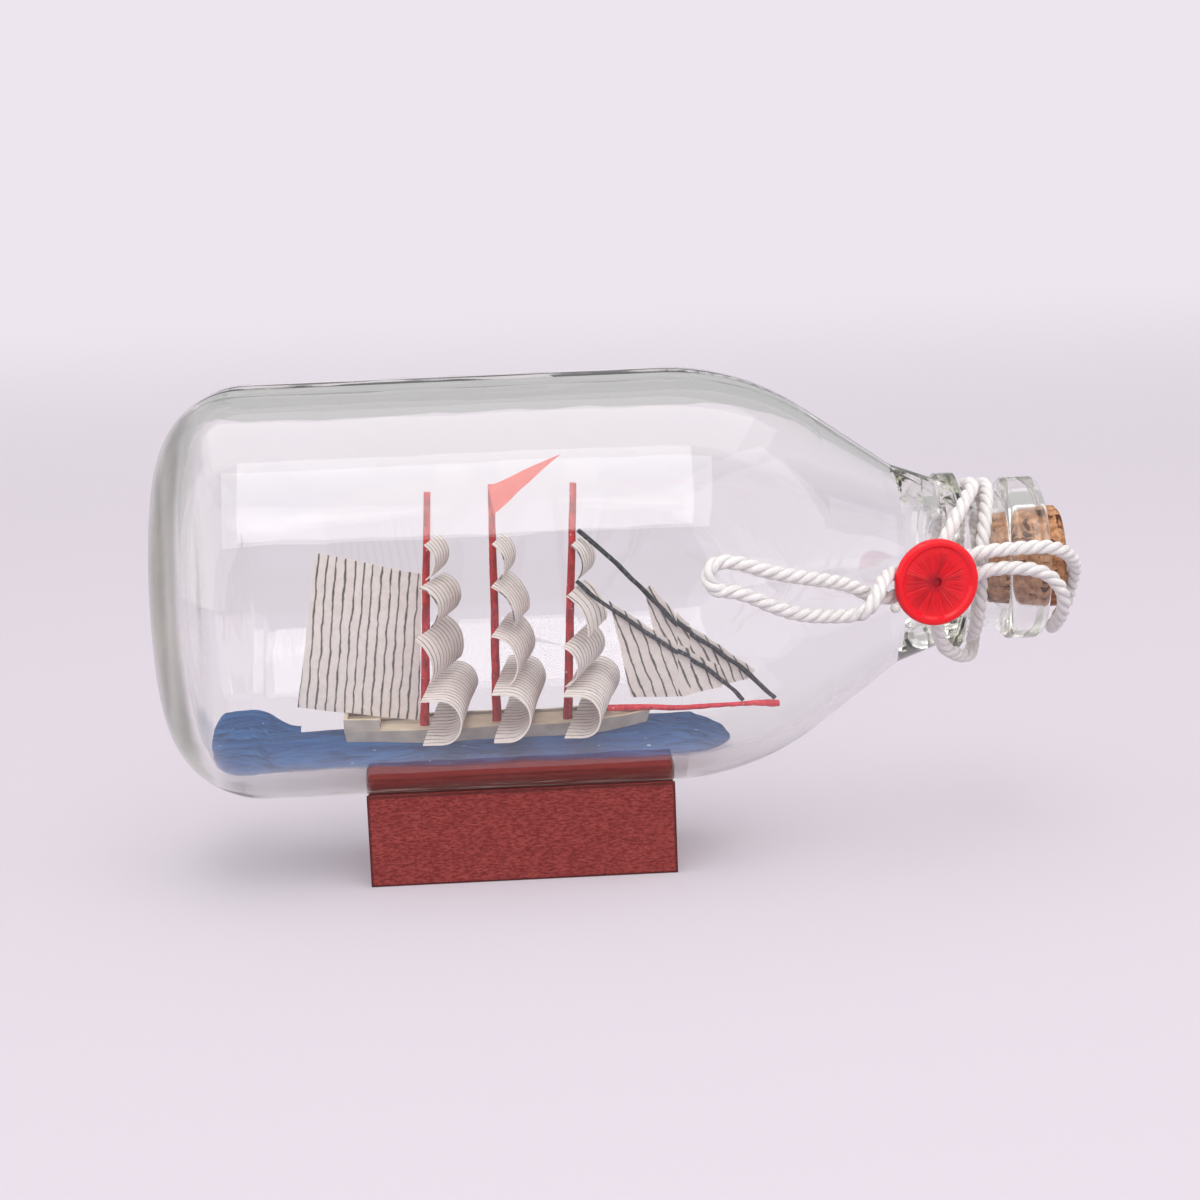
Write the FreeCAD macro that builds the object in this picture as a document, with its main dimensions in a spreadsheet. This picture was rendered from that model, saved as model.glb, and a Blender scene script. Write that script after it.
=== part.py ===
import FreeCAD, Part
import math
import os

import Sketcher

# A glass flask lying in a wooden cradle, with a three-masted paper-sailed ship on a sea inside it.
# Frame: +X runs along the flask to its cork, +Z is up, the origin is under the middle of the stand.
# The -Y side is the near side, the one that the seal faces.

Vector = FreeCAD.Vector
UP = Vector(0, 0, 1)
ACROSS = Vector(0, 1, 0)

# ---------------------------------------------------------------- driving dimensions, millimetres

DIMENSIONS = {
    # flask, outside: distances run forward from the middle of the stand
    "flask_radius": 33.6,
    "flask_back": 56.2,
    "heel_radius": 15.3,
    "punt_depth": 1.5,
    "punt_radius": 14.0,
    "shoulder_start": 24.65,
    "shoulder_radius": 41.2,
    "shoulder_slope": 35.5,
    "throat_radius": 13.88,
    "throat_run": 0.3,
    "fairing_run": 6.6,
    "fairing_drop": 2.44,
    "collar_length": 4.0,
    "collar_radius": 14.4,
    "collar_edge": 0.6,
    "neck_fillet": 0.5,
    "neck_radius": 11.1,
    "neck_length": 6.7,
    "lip_length": 6.5,
    "lip_radius": 13.3,
    "lip_round": 1.5,
    # flask, inside
    "wall": 3.8,
    "shoulder_wall": 2.4,
    "base_wall": 5.0,
    "inner_heel": 8.0,
    "bore_radius": 8.3,
    "bore_step": 1.0,
    "mouth_edge": 0.5,
    # cork
    "cork_inside": 9.1,
    "cork_proud": 3.3,
    "cork_taper": 1.1,
    "cork_fit": 0.05,
    "cork_edge": 0.6,
    # stand
    "stand_length": 49.7,
    "stand_floor": 13.4,
    "trough_depth": 1.8,
    "trough_gap": 0.3,
    "land_width": 1.1,
    "stand_edge": 0.5,
    # sea
    "sea_depth": 2.7,
    "sea_crown": 1.7,
    "crown_radius": 24.5,
    "sea_gap": 0.1,
    "crest_gap": 5.7,
    "swell_height": 2.6,
    "swell_length": 9.0,
    "sea_tongue": 10.6,
    "sea_tip": 34.1,
    # hull
    "hull_stern": 28.3,
    "hull_bow": 21.8,
    "hull_beam": 9.0,
    "hull_flare": 0.8,
    "hull_sink": 1.5,
    "freeboard": 3.75,
    "bulwark": 0.45,
    "rail": 0.6,
    "poop_length": 5.8,
    "poop_rise": 1.95,
    "poop_wall": 0.5,
    # masts: where they cross the deck, rake in degrees, bare pole over the top sail
    "mizzen_step": -15.26,
    "main_step": -3.46,
    "fore_step": 8.22,
    "mizzen_rake": 3.4,
    "main_rake": 1.3,
    "fore_rake": 3.5,
    "mast_foot": 0.76,
    "mast_head": 0.55,
    "mizzen_pole": 7.7,
    "main_pole": 8.8,
    "fore_pole": 9.2,
    "step_depth": 0.8,
    "step_fit": 0.08,
    # square sails, shared by the masts
    "paper": 0.2,
    "sail_seat": 0.06,
    "course_width": 25.5,
    "topsail_width": 17.5,
    "topgallant_width": 13.0,
    "royal_width": 9.5,
    # rigging
    "bowsprit_radius": 0.52,
    "bowsprit_length": 27.4,
    "outer_stay_radius": 0.4,
    "inner_stay_radius": 0.35,
    "thread_clear": 0.04,
    "outer_stay_drop": 7.7,
    "inner_stay_drop": 16.05,
    "jib_foot": 2.3,
    "jib_margin": 0.9,
    # pennant and spanker
    "pennant_fly": 11.4,
    "pennant_hoist": 4.6,
    "spanker_foot": 20.65,
    "spanker_head": 17.6,
    "spanker_luff": 24.7,
    "spanker_peak": 4.3,
    "spanker_clear": 0.35,
    # cord and wax
    "cord_radius": 1.12,
    "cord_clear": 0.08,
    "cord_rest": 0.3,
    "wrap_pitch": 2.85,
    "loop_reach": 36.7,
    "loop_rise": 8.1,
    "knot_radius": 4.0,
    "knot_round": 1.2,
    "knot_reach": 3.0,
    "seal_radius": 6.85,
    "seal_thickness": 1.7,
    "seal_rim": 1.0,
    "seal_edge": 0.6,
    "seal_dish": 0.4,
    "pit_radius": 0.75,
    "pit_depth": 0.5,
    "seal_back": 3.06,
    "seal_lift": 0.9,
    "seal_turn": 12.0,
    "seal_stand_off": 6.3,
    "glue_radius": 0.8,
    "glue_angle": 207.0,
}

# For each square sail, from the rail up: the gap under it, its drop, its forward bulge, how far its
# foot leads its head, and the angle in degrees that it is braced round the mast.
SAILS = {
    "mizzen": {
        "course": (0.15, 7.0, 6.4, 0.0, 5.7),
        "topsail": (2.0, 7.1, 1.5, 2.5, 16.3),
        "topgallant": (1.4, 6.4, 2.1, 1.9, 15.8),
        "royal": (0.8, 5.9, 1.6, 0.3, 13.5),
    },
    "main": {
        "course": (0.15, 7.6, 6.1, 0.0, 6.7),
        "topsail": (0.4, 8.0, 2.7, 2.9, 10.0),
        "topgallant": (1.0, 6.8, 1.3, 3.6, 11.4),
        "royal": (0.6, 5.8, 1.4, 1.1, 11.0),
    },
    "fore": {
        "course": (0.15, 6.7, 6.0, 0.0, 9.8),
        "topsail": (0.4, 6.6, 4.4, 0.7, 17.0),
        "topgallant": (1.2, 6.7, 1.0, 3.8, 15.0),
        "royal": (2.3, 5.5, 1.3, 1.4, 14.6),
    },
}
TIERS = ("course", "topsail", "topgallant", "royal")

for mast_name, sails in SAILS.items():
    for tier_name, (gap, drop, bulge, lead, brace) in sails.items():
        DIMENSIONS[f"{mast_name}_{tier_name}_gap"] = gap
        DIMENSIONS[f"{mast_name}_{tier_name}_drop"] = drop
        DIMENSIONS[f"{mast_name}_{tier_name}_bulge"] = bulge
        DIMENSIONS[f"{mast_name}_{tier_name}_lead"] = lead
        DIMENSIONS[f"{mast_name}_{tier_name}_brace"] = brace


class Size:
    """A length or angle that knows its value and the formula over the sheet that gives it."""

    def __init__(self, value, formula):
        self.value = float(value)
        self.formula = formula

    @staticmethod
    def of(thing):
        return thing if isinstance(thing, Size) else Size(thing, repr(float(thing)))

    def __add__(self, other):
        other = Size.of(other)
        return Size(self.value + other.value, f"({self.formula} + {other.formula})")

    def __sub__(self, other):
        other = Size.of(other)
        return Size(self.value - other.value, f"({self.formula} - {other.formula})")

    def __mul__(self, other):
        other = Size.of(other)
        return Size(self.value * other.value, f"({self.formula} * {other.formula})")

    def __truediv__(self, other):
        other = Size.of(other)
        return Size(self.value / other.value, f"({self.formula} / {other.formula})")

    def __neg__(self):
        return Size(-self.value, f"(-1 * {self.formula})")

    def __radd__(self, other):
        return Size.of(other) + self

    def __rsub__(self, other):
        return Size.of(other) - self

    def __rmul__(self, other):
        return Size.of(other) * self


def sine(angle):
    return Size(math.sin(math.radians(angle.value)), f"sin({angle.formula})")


def cosine(angle):
    return Size(math.cos(math.radians(angle.value)), f"cos({angle.formula})")


def tangent(angle):
    return Size(math.tan(math.radians(angle.value)), f"tan({angle.formula})")


def root(square):
    return Size(math.sqrt(square.value), f"sqrt({square.formula})")


# ------------------------------------------------------------------------ the document and sheet

document = FreeCAD.newDocument("flask_ship")
sheet = document.addObject("Spreadsheet::Sheet", "sizes")


class Sizes:
    """The sheet's cells by name."""


size = Sizes()
for row, (name, number) in enumerate(DIMENSIONS.items(), start=1):
    sheet.set(f"A{row}", name)
    sheet.set(f"B{row}", str(number))
    sheet.setAlias(f"B{row}", name)
    setattr(size, name, Size(number, f"sizes.{name}"))
document.recompute()


# ----------------------------------------------------------------------------- drawing helpers


def new_body(name):
    body = document.addObject("PartDesign::Body", name)
    body.Label = name
    return body


def new_sketch(body, name, plane, offset=None):
    """A sketch on one of the body's own planes, lifted off it by offset."""
    sketch = body.newObject("Sketcher::SketchObject", name)
    support = next(item for item in body.Origin.OriginFeatures if item.Role == plane)
    sketch.AttachmentSupport = (support, [""])
    sketch.MapMode = "FlatFace"
    if offset is not None:
        sketch.AttachmentOffset = FreeCAD.Placement(Vector(0, 0, offset.value), FreeCAD.Rotation())
        sketch.setExpression("AttachmentOffset.Base.z", offset.formula)
    return sketch


def bind_constraint(sketch, kind, numbers, amount):
    index = sketch.addConstraint(Sketcher.Constraint(kind, *numbers, amount.value))
    sketch.setExpression(f"Constraints[{index}]", amount.formula)


def arc_between(start, end, radius, turn):
    """The short arc from start to end: turn is +1 anticlockwise, -1 clockwise."""
    chord = end - start
    left = Vector(-chord.y, chord.x, 0).normalize()
    rise = math.sqrt(max(radius ** 2 - (chord.Length / 2) ** 2, 0.0))
    centre = (start + end) / 2 + left * rise * turn
    first, last = (start, end) if turn > 0 else (end, start)
    angle = math.atan2(first.y - centre.y, first.x - centre.x)
    sweep = (math.atan2(last.y - centre.y, last.x - centre.x) - angle) % (2 * math.pi)
    return Part.ArcOfCircle(Part.Circle(centre, UP, radius), angle, angle + sweep)


def draw_outline(sketch, corners, arcs=None):
    """A closed outline: each corner is bound to the sheet, arcs maps a side to (radius, turn)."""
    arcs = arcs or {}
    count = len(corners)
    ends = []
    for side in range(count):
        start = Vector(corners[side][0].value, corners[side][1].value, 0)
        end = Vector(corners[(side + 1) % count][0].value, corners[(side + 1) % count][1].value, 0)
        if side in arcs:
            radius, turn = arcs[side]
            sketch.addGeometry(arc_between(start, end, radius.value, turn), False)
            ends.append((1, 2) if turn > 0 else (2, 1))
        else:
            sketch.addGeometry(Part.LineSegment(start, end), False)
            ends.append((1, 2))
    for side in range(count):
        after = (side + 1) % count
        sketch.addConstraint(Sketcher.Constraint("Coincident", side, ends[side][1], after, ends[after][0]))
    for side, (across, up) in enumerate(corners):
        bind_constraint(sketch, "DistanceX", (-1, 1, side, ends[side][0]), across)
        bind_constraint(sketch, "DistanceY", (-1, 1, side, ends[side][0]), up)
        if side in arcs:
            bind_constraint(sketch, "Radius", (side,), arcs[side][0])


def draw_circle(sketch, across, up, radius):
    index = sketch.GeometryCount
    centre = Vector(across.value, up.value, 0)
    sketch.addGeometry(Part.Circle(centre, UP, radius.value), False)
    bind_constraint(sketch, "DistanceX", (-1, 1, index, 3), across)
    bind_constraint(sketch, "DistanceY", (-1, 1, index, 3), up)
    bind_constraint(sketch, "Radius", (index,), radius)


def revolve(body, name, sketch, axis="H_Axis"):
    feature = body.newObject("PartDesign::Revolution", name)
    feature.Profile = sketch
    feature.ReferenceAxis = (sketch, [axis])
    feature.Angle = 360.0
    body.Tip = feature
    return feature


def pad(body, name, sketch, length, both_ways=False, downward=False):
    feature = body.newObject("PartDesign::Pad", name)
    feature.Profile = sketch
    feature.SideType = "Symmetric" if both_ways else "One side"
    feature.Length = length.value
    feature.setExpression("Length", length.formula)
    feature.Reversed = downward
    body.Tip = feature
    return feature


def pocket(body, name, sketch, depth):
    """A pocket cut down from the sketch's plane; it must take material away."""
    document.recompute()
    before = body.Shape.Volume
    feature = body.newObject("PartDesign::Pocket", name)
    feature.Profile = sketch
    feature.Length = depth.value
    feature.setExpression("Length", depth.formula)
    body.Tip = feature
    document.recompute()
    assert body.Shape.Volume < before - 0.01, f"{name} cuts nothing"
    return feature


def place(item, across=None, along=None, up=None, axis=None, angle=None):
    """Bind an object's place and its turn about one axis to the sheet."""
    rotation = FreeCAD.Rotation(axis, angle.value) if axis is not None else item.Placement.Rotation
    base = Vector(*(part.value if part is not None else 0 for part in (across, along, up)))
    item.Placement = FreeCAD.Placement(base, rotation)
    for letter, part in (("x", across), ("y", along), ("z", up)):
        if part is not None:
            item.setExpression(f"Placement.Base.{letter}", part.formula)
    if angle is not None:
        item.setExpression("Placement.Rotation.Angle", angle.formula)


nodes = {}


def keep(name, item):
    """Name a finished piece as a node."""
    item.Label = name
    nodes[name] = item
    return item


# ------------------------------------------------------------------------------- worked-out sizes

axis_height = size.stand_floor + size.trough_gap + size.flask_radius
shoulder_end = size.shoulder_start + size.shoulder_radius * sine(size.shoulder_slope)
shoulder_end_radius = size.flask_radius - size.shoulder_radius * (1 - cosine(size.shoulder_slope))
cone_end_radius = size.throat_radius + size.fairing_drop
cone_end = shoulder_end + (shoulder_end_radius - cone_end_radius) / tangent(size.shoulder_slope)
throat_start = cone_end + size.fairing_run
collar_start = throat_start + size.throat_run
collar_end = collar_start + size.collar_length
neck_end = collar_end + size.neck_length
mouth = neck_end + size.lip_length

inner_back = size.flask_back - size.base_wall
inner_radius = size.flask_radius - size.wall
# the wall thins round the shoulder: one round joins the straight hollow to its cone
cone_foot = shoulder_end - size.shoulder_wall * sine(size.shoulder_slope)
cone_foot_radius = shoulder_end_radius - size.shoulder_wall * cosine(size.shoulder_slope)
inner_vertex = cone_foot - (inner_radius - cone_foot_radius) / tangent(size.shoulder_slope)
inner_round = size.shoulder_radius - size.shoulder_wall
inner_tangent = inner_round * tangent(size.shoulder_slope / 2)
inner_shoulder_start = inner_vertex - inner_tangent
inner_shoulder_end = inner_vertex + inner_tangent * cosine(size.shoulder_slope)
inner_shoulder_radius = inner_radius - inner_tangent * sine(size.shoulder_slope)
bore_back = collar_end - size.bore_step

sea_level = axis_height - inner_radius + size.sea_depth
hull_bottom = sea_level - size.hull_sink
hull_top = sea_level + size.freeboard
deck = hull_top - size.bulwark


# ------------------------------------------------------------------------------------- the flask


def inner_outline(gap):
    """The hollow's half outline from the back to the bore, drawn in by gap."""
    corners = [
        (-(inner_back - gap), Size.of(0)),
        (-(inner_back - gap), inner_radius - size.inner_heel),
        (-(inner_back - size.inner_heel), inner_radius - gap),
        (inner_shoulder_start, inner_radius - gap),
        (inner_shoulder_end, inner_shoulder_radius - gap),
    ]
    arcs = {1: (size.inner_heel - gap, -1), 3: (inner_round, -1)}
    return corners, arcs


def make_bottle():
    body = new_body("bottle")
    sketch = new_sketch(body, "bottle_outline", "XZ_Plane")
    heel_start = size.flask_radius - size.heel_radius
    back = -size.flask_back
    inner, inner_arcs = inner_outline(Size.of(0))
    corners = [
        (-(size.flask_back - size.punt_depth), Size.of(0)),
        (back, size.punt_radius),
        (back, heel_start),
        (back + size.heel_radius, size.flask_radius),
        (size.shoulder_start, size.flask_radius),
        (shoulder_end, shoulder_end_radius),
        (cone_end, cone_end_radius),
        (throat_start, size.throat_radius),
        (collar_start, size.throat_radius),
        (collar_start + size.collar_edge, size.collar_radius),
        (collar_end - size.collar_edge, size.collar_radius),
        (collar_end, size.collar_radius - size.collar_edge),
        (collar_end, size.neck_radius + size.neck_fillet),
        (collar_end + size.neck_fillet, size.neck_radius),
        (neck_end, size.neck_radius),
        (neck_end, size.lip_radius - size.lip_round),
        (neck_end + size.lip_round, size.lip_radius),
        (mouth - size.lip_round, size.lip_radius),
        (mouth, size.lip_radius - size.lip_round),
        (mouth, size.bore_radius + size.mouth_edge),
        (mouth - size.mouth_edge, size.bore_radius),
        (bore_back, size.bore_radius),
    ]
    outer_count = len(corners)
    arcs = {
        2: (size.heel_radius, -1),
        4: (size.shoulder_radius, -1),
        15: (size.lip_round, -1),
        17: (size.lip_round, -1),
    }
    corners = corners + list(reversed(inner))
    last = len(inner) - 1
    for side, (radius, turn) in inner_arcs.items():
        arcs[outer_count + last - side - 1] = (radius, -turn)
    draw_outline(sketch, corners, arcs)
    revolve(body, "bottle_glass", sketch)
    place(body, up=axis_height)
    return keep("bottle", body)


def make_cork():
    """A tapered plug: it clears the bore by the fit at the mouth and stands proud of it."""
    body = new_body("cork")
    sketch = new_sketch(body, "cork_outline", "XZ_Plane")
    inner_end = mouth - size.cork_inside
    outer_end = mouth + size.cork_proud
    big = size.bore_radius - size.cork_fit
    small = big - size.cork_taper
    corners = [
        (inner_end, Size.of(0)),
        (inner_end, small - size.cork_edge),
        (inner_end + size.cork_edge, small),
        (mouth, big),
        (outer_end - size.cork_edge, big),
        (outer_end, big - size.cork_edge),
        (outer_end, Size.of(0)),
    ]
    draw_outline(sketch, corners)
    revolve(body, "cork_plug", sketch)
    place(body, up=axis_height)
    return keep("cork", body)


def make_stand():
    """A block with a trough along its top, a little rounder than the flask that lies in it."""
    body = new_body("stand")
    sketch = new_sketch(body, "stand_section", "YZ_Plane")
    trough = size.flask_radius + size.trough_gap
    half_trough = root(trough * trough - (trough - size.trough_depth) * (trough - size.trough_depth))
    half = half_trough + size.land_width
    top = size.stand_floor + size.trough_depth
    edge = size.stand_edge
    corners = [
        (-half + edge, Size.of(0)),
        (half - edge, Size.of(0)),
        (half, edge),
        (half, top - edge),
        (half - edge, top),
        (half_trough, top),
        (Size.of(0), size.stand_floor),
        (-half_trough, top),
        (-half + edge, top),
        (-half, top - edge),
        (-half, edge),
    ]
    arcs = {
        1: (edge, 1),
        3: (edge, 1),
        5: (trough, -1),
        6: (trough, -1),
        8: (edge, 1),
        10: (edge, 1),
    }
    draw_outline(sketch, corners, arcs)
    pad(body, "stand_block", sketch, size.stand_length, both_ways=True)
    return keep("stand", body)


# ------------------------------------------------------------------------------ the hull and sea


def hull_plan(half_beam, stern, bow):
    """A blunt-sterned plan: straight quarters, then a round run to the pointed bow."""
    entry = bow * 0.25
    corners = [
        (-stern, -half_beam * 0.75),
        (-stern * 0.72, -half_beam),
        (entry, -half_beam),
        (bow, Size.of(0)),
        (entry, half_beam),
        (-stern * 0.72, half_beam),
        (-stern, half_beam * 0.75),
    ]
    run = bow - entry
    bend = (run * run + half_beam * half_beam) / (half_beam * 2)
    arcs = {2: (bend, 1), 3: (bend, 1)}
    return corners, arcs


def make_hull():
    body = new_body("hull")
    half_beam = size.hull_beam / 2
    keel = new_sketch(body, "keel_plan", "XY_Plane", hull_bottom)
    flare = size.hull_flare
    draw_outline(keel, *hull_plan(half_beam - flare, size.hull_stern - flare, size.hull_bow - flare * 2))
    top = new_sketch(body, "rail_plan", "XY_Plane", hull_top)
    draw_outline(top, *hull_plan(half_beam, size.hull_stern, size.hull_bow))
    shell = body.newObject("PartDesign::AdditiveLoft", "hull_shell")
    shell.Profile = keel
    shell.Sections = [top]
    shell.Ruled = True
    body.Tip = shell
    poop = new_sketch(body, "poop_plan", "XY_Plane", deck)
    poop_front = -(size.hull_stern - size.poop_length)
    poop_corners = [
        (-size.hull_stern, -half_beam * 0.75),
        (poop_front, -half_beam * 0.91),
        (poop_front, half_beam * 0.91),
        (-size.hull_stern, half_beam * 0.75),
    ]
    draw_outline(poop, poop_corners)
    pad(body, "poop", poop, size.bulwark + size.poop_rise)
    well = new_sketch(body, "well_plan", "XY_Plane", hull_top)
    well_stern = -poop_front
    draw_outline(well, *hull_plan(half_beam - size.rail, well_stern, size.hull_bow - size.rail * 3))
    pocket(body, "deck_well", well, size.bulwark)
    poop_deck = new_sketch(body, "poop_deck_plan", "XY_Plane", hull_top + size.poop_rise)
    inside = half_beam * 0.75 - size.rail
    deck_corners = [
        (-size.hull_stern + size.rail, -inside),
        (poop_front + size.poop_wall, -inside),
        (poop_front + size.poop_wall, inside),
        (-size.hull_stern + size.rail, inside),
    ]
    draw_outline(poop_deck, deck_corners)
    pocket(body, "poop_well", poop_deck, size.poop_rise * 0.62)
    steps = new_sketch(body, "mast_steps", "XY_Plane", deck)
    for step in (size.mizzen_step, size.main_step, size.fore_step):
        draw_circle(steps, step, Size.of(0), size.mast_foot + size.step_fit)
    pocket(body, "mast_holes", steps, size.step_depth)
    return keep("hull", body)


def make_sea(hull):
    """The hollow's lower part, cut to a wavy top and a tongue, with the hull's bed taken out."""
    cavity = new_body("sea_cavity")
    hollow = new_sketch(cavity, "sea_hollow", "XZ_Plane")
    corners, arcs = inner_outline(size.sea_gap)
    corners.append((inner_shoulder_end, Size.of(0)))
    draw_outline(hollow, corners, arcs)
    revolve(cavity, "sea_round", hollow)
    place(cavity, up=axis_height)

    below = axis_height - size.flask_radius
    top = sea_level + size.sea_crown
    side = new_body("sea_side")
    profile = new_sketch(side, "sea_profile", "XZ_Plane")
    tip_level = sea_level - size.sea_depth * 0.6
    profile_corners = [
        (-size.flask_back, below),
        (inner_shoulder_end, below),
        (inner_shoulder_end, tip_level),
        (size.sea_tip, tip_level),
        (size.hull_bow, top),
        (-size.flask_back, top),
    ]
    draw_outline(profile, profile_corners)
    pad(side, "sea_slab", profile, size.flask_radius * 2, both_ways=True)

    crown = new_body("sea_crown_body")
    section = new_sketch(crown, "sea_section", "YZ_Plane")
    half = size.flask_radius / 2
    dome = size.crown_radius
    edge = top - dome + root(dome * dome - half * half)
    draw_outline(section, [(-half, below), (half, below), (half, edge), (-half, edge)], {2: (dome, 1)})
    pad(crown, "sea_dome", section, size.flask_back * 2, both_ways=True)

    crest = new_body("sea_crest")
    swell = new_sketch(crest, "sea_swell", "XZ_Plane")
    crest_back = -(inner_back - size.crest_gap)
    swell_end = crest_back + size.swell_length
    mound = (size.swell_length * size.swell_length + size.swell_height * size.swell_height) / (
        size.swell_height * 4)
    middle = (crest_back + swell_end) / 2
    swell_corners = [
        (-size.flask_back, below),
        (swell_end, below),
        (swell_end, sea_level),
        (middle, sea_level + size.swell_height / 2),
        (crest_back, sea_level + size.swell_height),
        (-size.flask_back, sea_level + size.swell_height * 0.7),
    ]
    draw_outline(swell, swell_corners, {2: (mound, -1), 3: (mound, 1)})
    pad(crest, "sea_mound", swell, size.flask_radius * 2, both_ways=True)

    plan = new_body("sea_plan")
    tongue = new_sketch(plan, "sea_tongue_plan", "XY_Plane")
    reach = size.sea_tip - size.sea_tongue
    corners = [
        (-size.flask_back, -size.flask_radius),
        (size.fore_step, -size.flask_radius),
        (size.fore_step, -size.sea_tongue * 1.32),
        (reach, -size.sea_tongue),
        (size.sea_tip, Size.of(0)),
        (reach, size.sea_tongue),
        (size.fore_step, size.sea_tongue * 1.32),
        (size.fore_step, size.flask_radius),
        (-size.flask_back, size.flask_radius),
    ]
    draw_outline(tongue, corners, {3: (size.sea_tongue, 1), 4: (size.sea_tongue, 1)})
    pad(plan, "sea_column", tongue, axis_height)

    domed = document.addObject("Part::MultiCommon", "sea_domed")
    domed.Shapes = [side, crown]
    heap = document.addObject("Part::MultiFuse", "sea_heap")
    heap.Shapes = [domed, crest]
    water = document.addObject("Part::MultiCommon", "sea_water")
    water.Shapes = [cavity, heap, plan]
    sea = document.addObject("Part::Cut", "sea")
    sea.Base = water
    sea.Tool = hull
    return keep("sea", sea)


# ------------------------------------------------------------------------- the masts and sails


class Mast:
    """One raked, tapered pole with its sails stacked on it from the rail up."""

    def __init__(self, name):
        self.name = name
        self.step = getattr(size, f"{name}_step")
        self.rake = getattr(size, f"{name}_rake")
        height = hull_top
        self.heads = {}
        for tier in TIERS:
            foot = height + getattr(size, f"{name}_{tier}_gap")
            height = foot + getattr(size, f"{name}_{tier}_drop")
            self.heads[tier] = height
        self.top = height + getattr(size, f"{name}_pole")

    def centre(self, height):
        return self.step + (height - deck) * tangent(self.rake)

    def thickness(self, height):
        share = (height - deck) / (self.top - deck)
        return size.mast_foot - (size.mast_foot - size.mast_head) * share


def make_mast(mast):
    cone = document.addObject("Part::Cone", f"{mast.name}_mast")
    bottom = deck - size.step_depth + size.step_fit
    length = (mast.top - bottom) / cosine(mast.rake)
    for name, amount in (("Radius1", size.mast_foot), ("Radius2", size.mast_head), ("Height", length)):
        setattr(cone, name, amount.value)
        cone.setExpression(name, amount.formula)
    place(cone, across=mast.centre(bottom), up=bottom, axis=ACROSS, angle=mast.rake)
    return keep(f"{mast.name}_mast", cone)


def square_outline(seat, drop, bulge, lead):
    """A thin arched sheet: head at the mast, foot led forward, thickness inward."""
    chord = root(lead * lead + drop * drop)
    radius = (chord * chord / 4 + bulge * bulge) / (bulge * 2)
    away = bulge - radius
    centre_across = seat + lead / 2 + drop / chord * away
    centre_up = -drop / 2 + lead / chord * away
    inward = size.paper / radius
    head = (seat, Size.of(0))
    foot = (seat + lead, -drop)
    corners = [
        head,
        foot,
        (foot[0] + (centre_across - foot[0]) * inward, foot[1] + (centre_up - foot[1]) * inward),
        (head[0] + (centre_across - head[0]) * inward, head[1] + (centre_up - head[1]) * inward),
    ]
    return corners, {0: (radius, -1), 2: (radius - size.paper, 1)}


def course_outline(seat, drop, bulge):
    """The lowest sail: flat out from the mast, round a half circle and flat back."""
    radius = drop / 2
    inside = radius - size.paper
    flat = seat + bulge - radius
    corners = [
        (seat, Size.of(0)),
        (flat, Size.of(0)),
        (flat + radius, -radius),
        (flat, -drop),
        (seat, -drop),
        (seat, -drop + size.paper),
        (flat, -drop + size.paper),
        (flat + inside, -radius),
        (flat, -size.paper),
        (seat, -size.paper),
    ]
    return corners, {1: (radius, -1), 2: (radius, -1), 6: (inside, 1), 7: (inside, 1)}


def make_sail(mast, tier):
    name = f"{mast.name}_{tier}"
    head = mast.heads[tier]
    drop = getattr(size, f"{name}_drop")
    bulge = getattr(size, f"{name}_bulge")
    lead = getattr(size, f"{name}_lead")
    body = new_body(name)
    sketch = new_sketch(body, f"{name}_curve", "XZ_Plane")
    seat = mast.thickness(head - drop) + size.sail_seat
    if tier == "course":
        outline = course_outline(seat, drop, bulge)
    else:
        foot_front = mast.centre(head - drop) + mast.thickness(head - drop)
        head_front = mast.centre(head) + mast.thickness(head)
        outline = square_outline(seat + size.paper, drop, bulge, lead + (foot_front - head_front))
    draw_outline(sketch, *outline)
    pad(body, f"{name}_sheet", sketch, getattr(size, f"{tier}_width"), both_ways=True)
    place(body, across=mast.centre(head), up=head, axis=UP, angle=-getattr(size, f"{name}_brace"))
    return keep(name, body)


def make_plate(name, corners, near, thickness):
    """A flat sheet in the flask's upright middle plane, its near face at the given depth."""
    body = new_body(name)
    sketch = new_sketch(body, f"{name}_shape", "XZ_Plane", -near)
    draw_outline(sketch, corners)
    pad(body, f"{name}_sheet", sketch, thickness, downward=True)
    return keep(name, body)


def make_spanker(mizzen):
    clear = size.spanker_clear
    tack = hull_top + clear
    throat = tack + size.spanker_luff
    behind = size.mast_foot + size.sail_seat
    stern_clear = hull_top + size.poop_rise + clear * 0.7
    stern_run = size.hull_stern + mizzen.step - clear * 3
    clew = tack + (stern_clear - tack) * size.spanker_foot / stern_run
    corners = [
        (mizzen.centre(tack) - behind, tack),
        (mizzen.centre(throat) - behind, throat),
        (mizzen.centre(throat) - size.spanker_head, throat + size.spanker_peak),
        (mizzen.centre(tack) - size.spanker_foot, clew),
    ]
    return make_plate("spanker", corners, -size.paper / 2, size.paper)


def make_pennant(main):
    """A three-cornered flag gummed to the near side of the main mast's head."""
    near = -(size.mast_head + size.sail_seat + size.paper)
    head = main.centre(main.top)
    corners = [
        (head + size.mast_head * 0.55, main.top - size.pennant_hoist),
        (head + size.pennant_fly, main.top + size.pennant_hoist),
        (head - size.mast_head * 0.9, main.top - size.mast_head * 0.4),
    ]
    return make_plate("pennant", corners, near, size.paper)


# ------------------------------------------------------------------------------ tubes and cords


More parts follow.
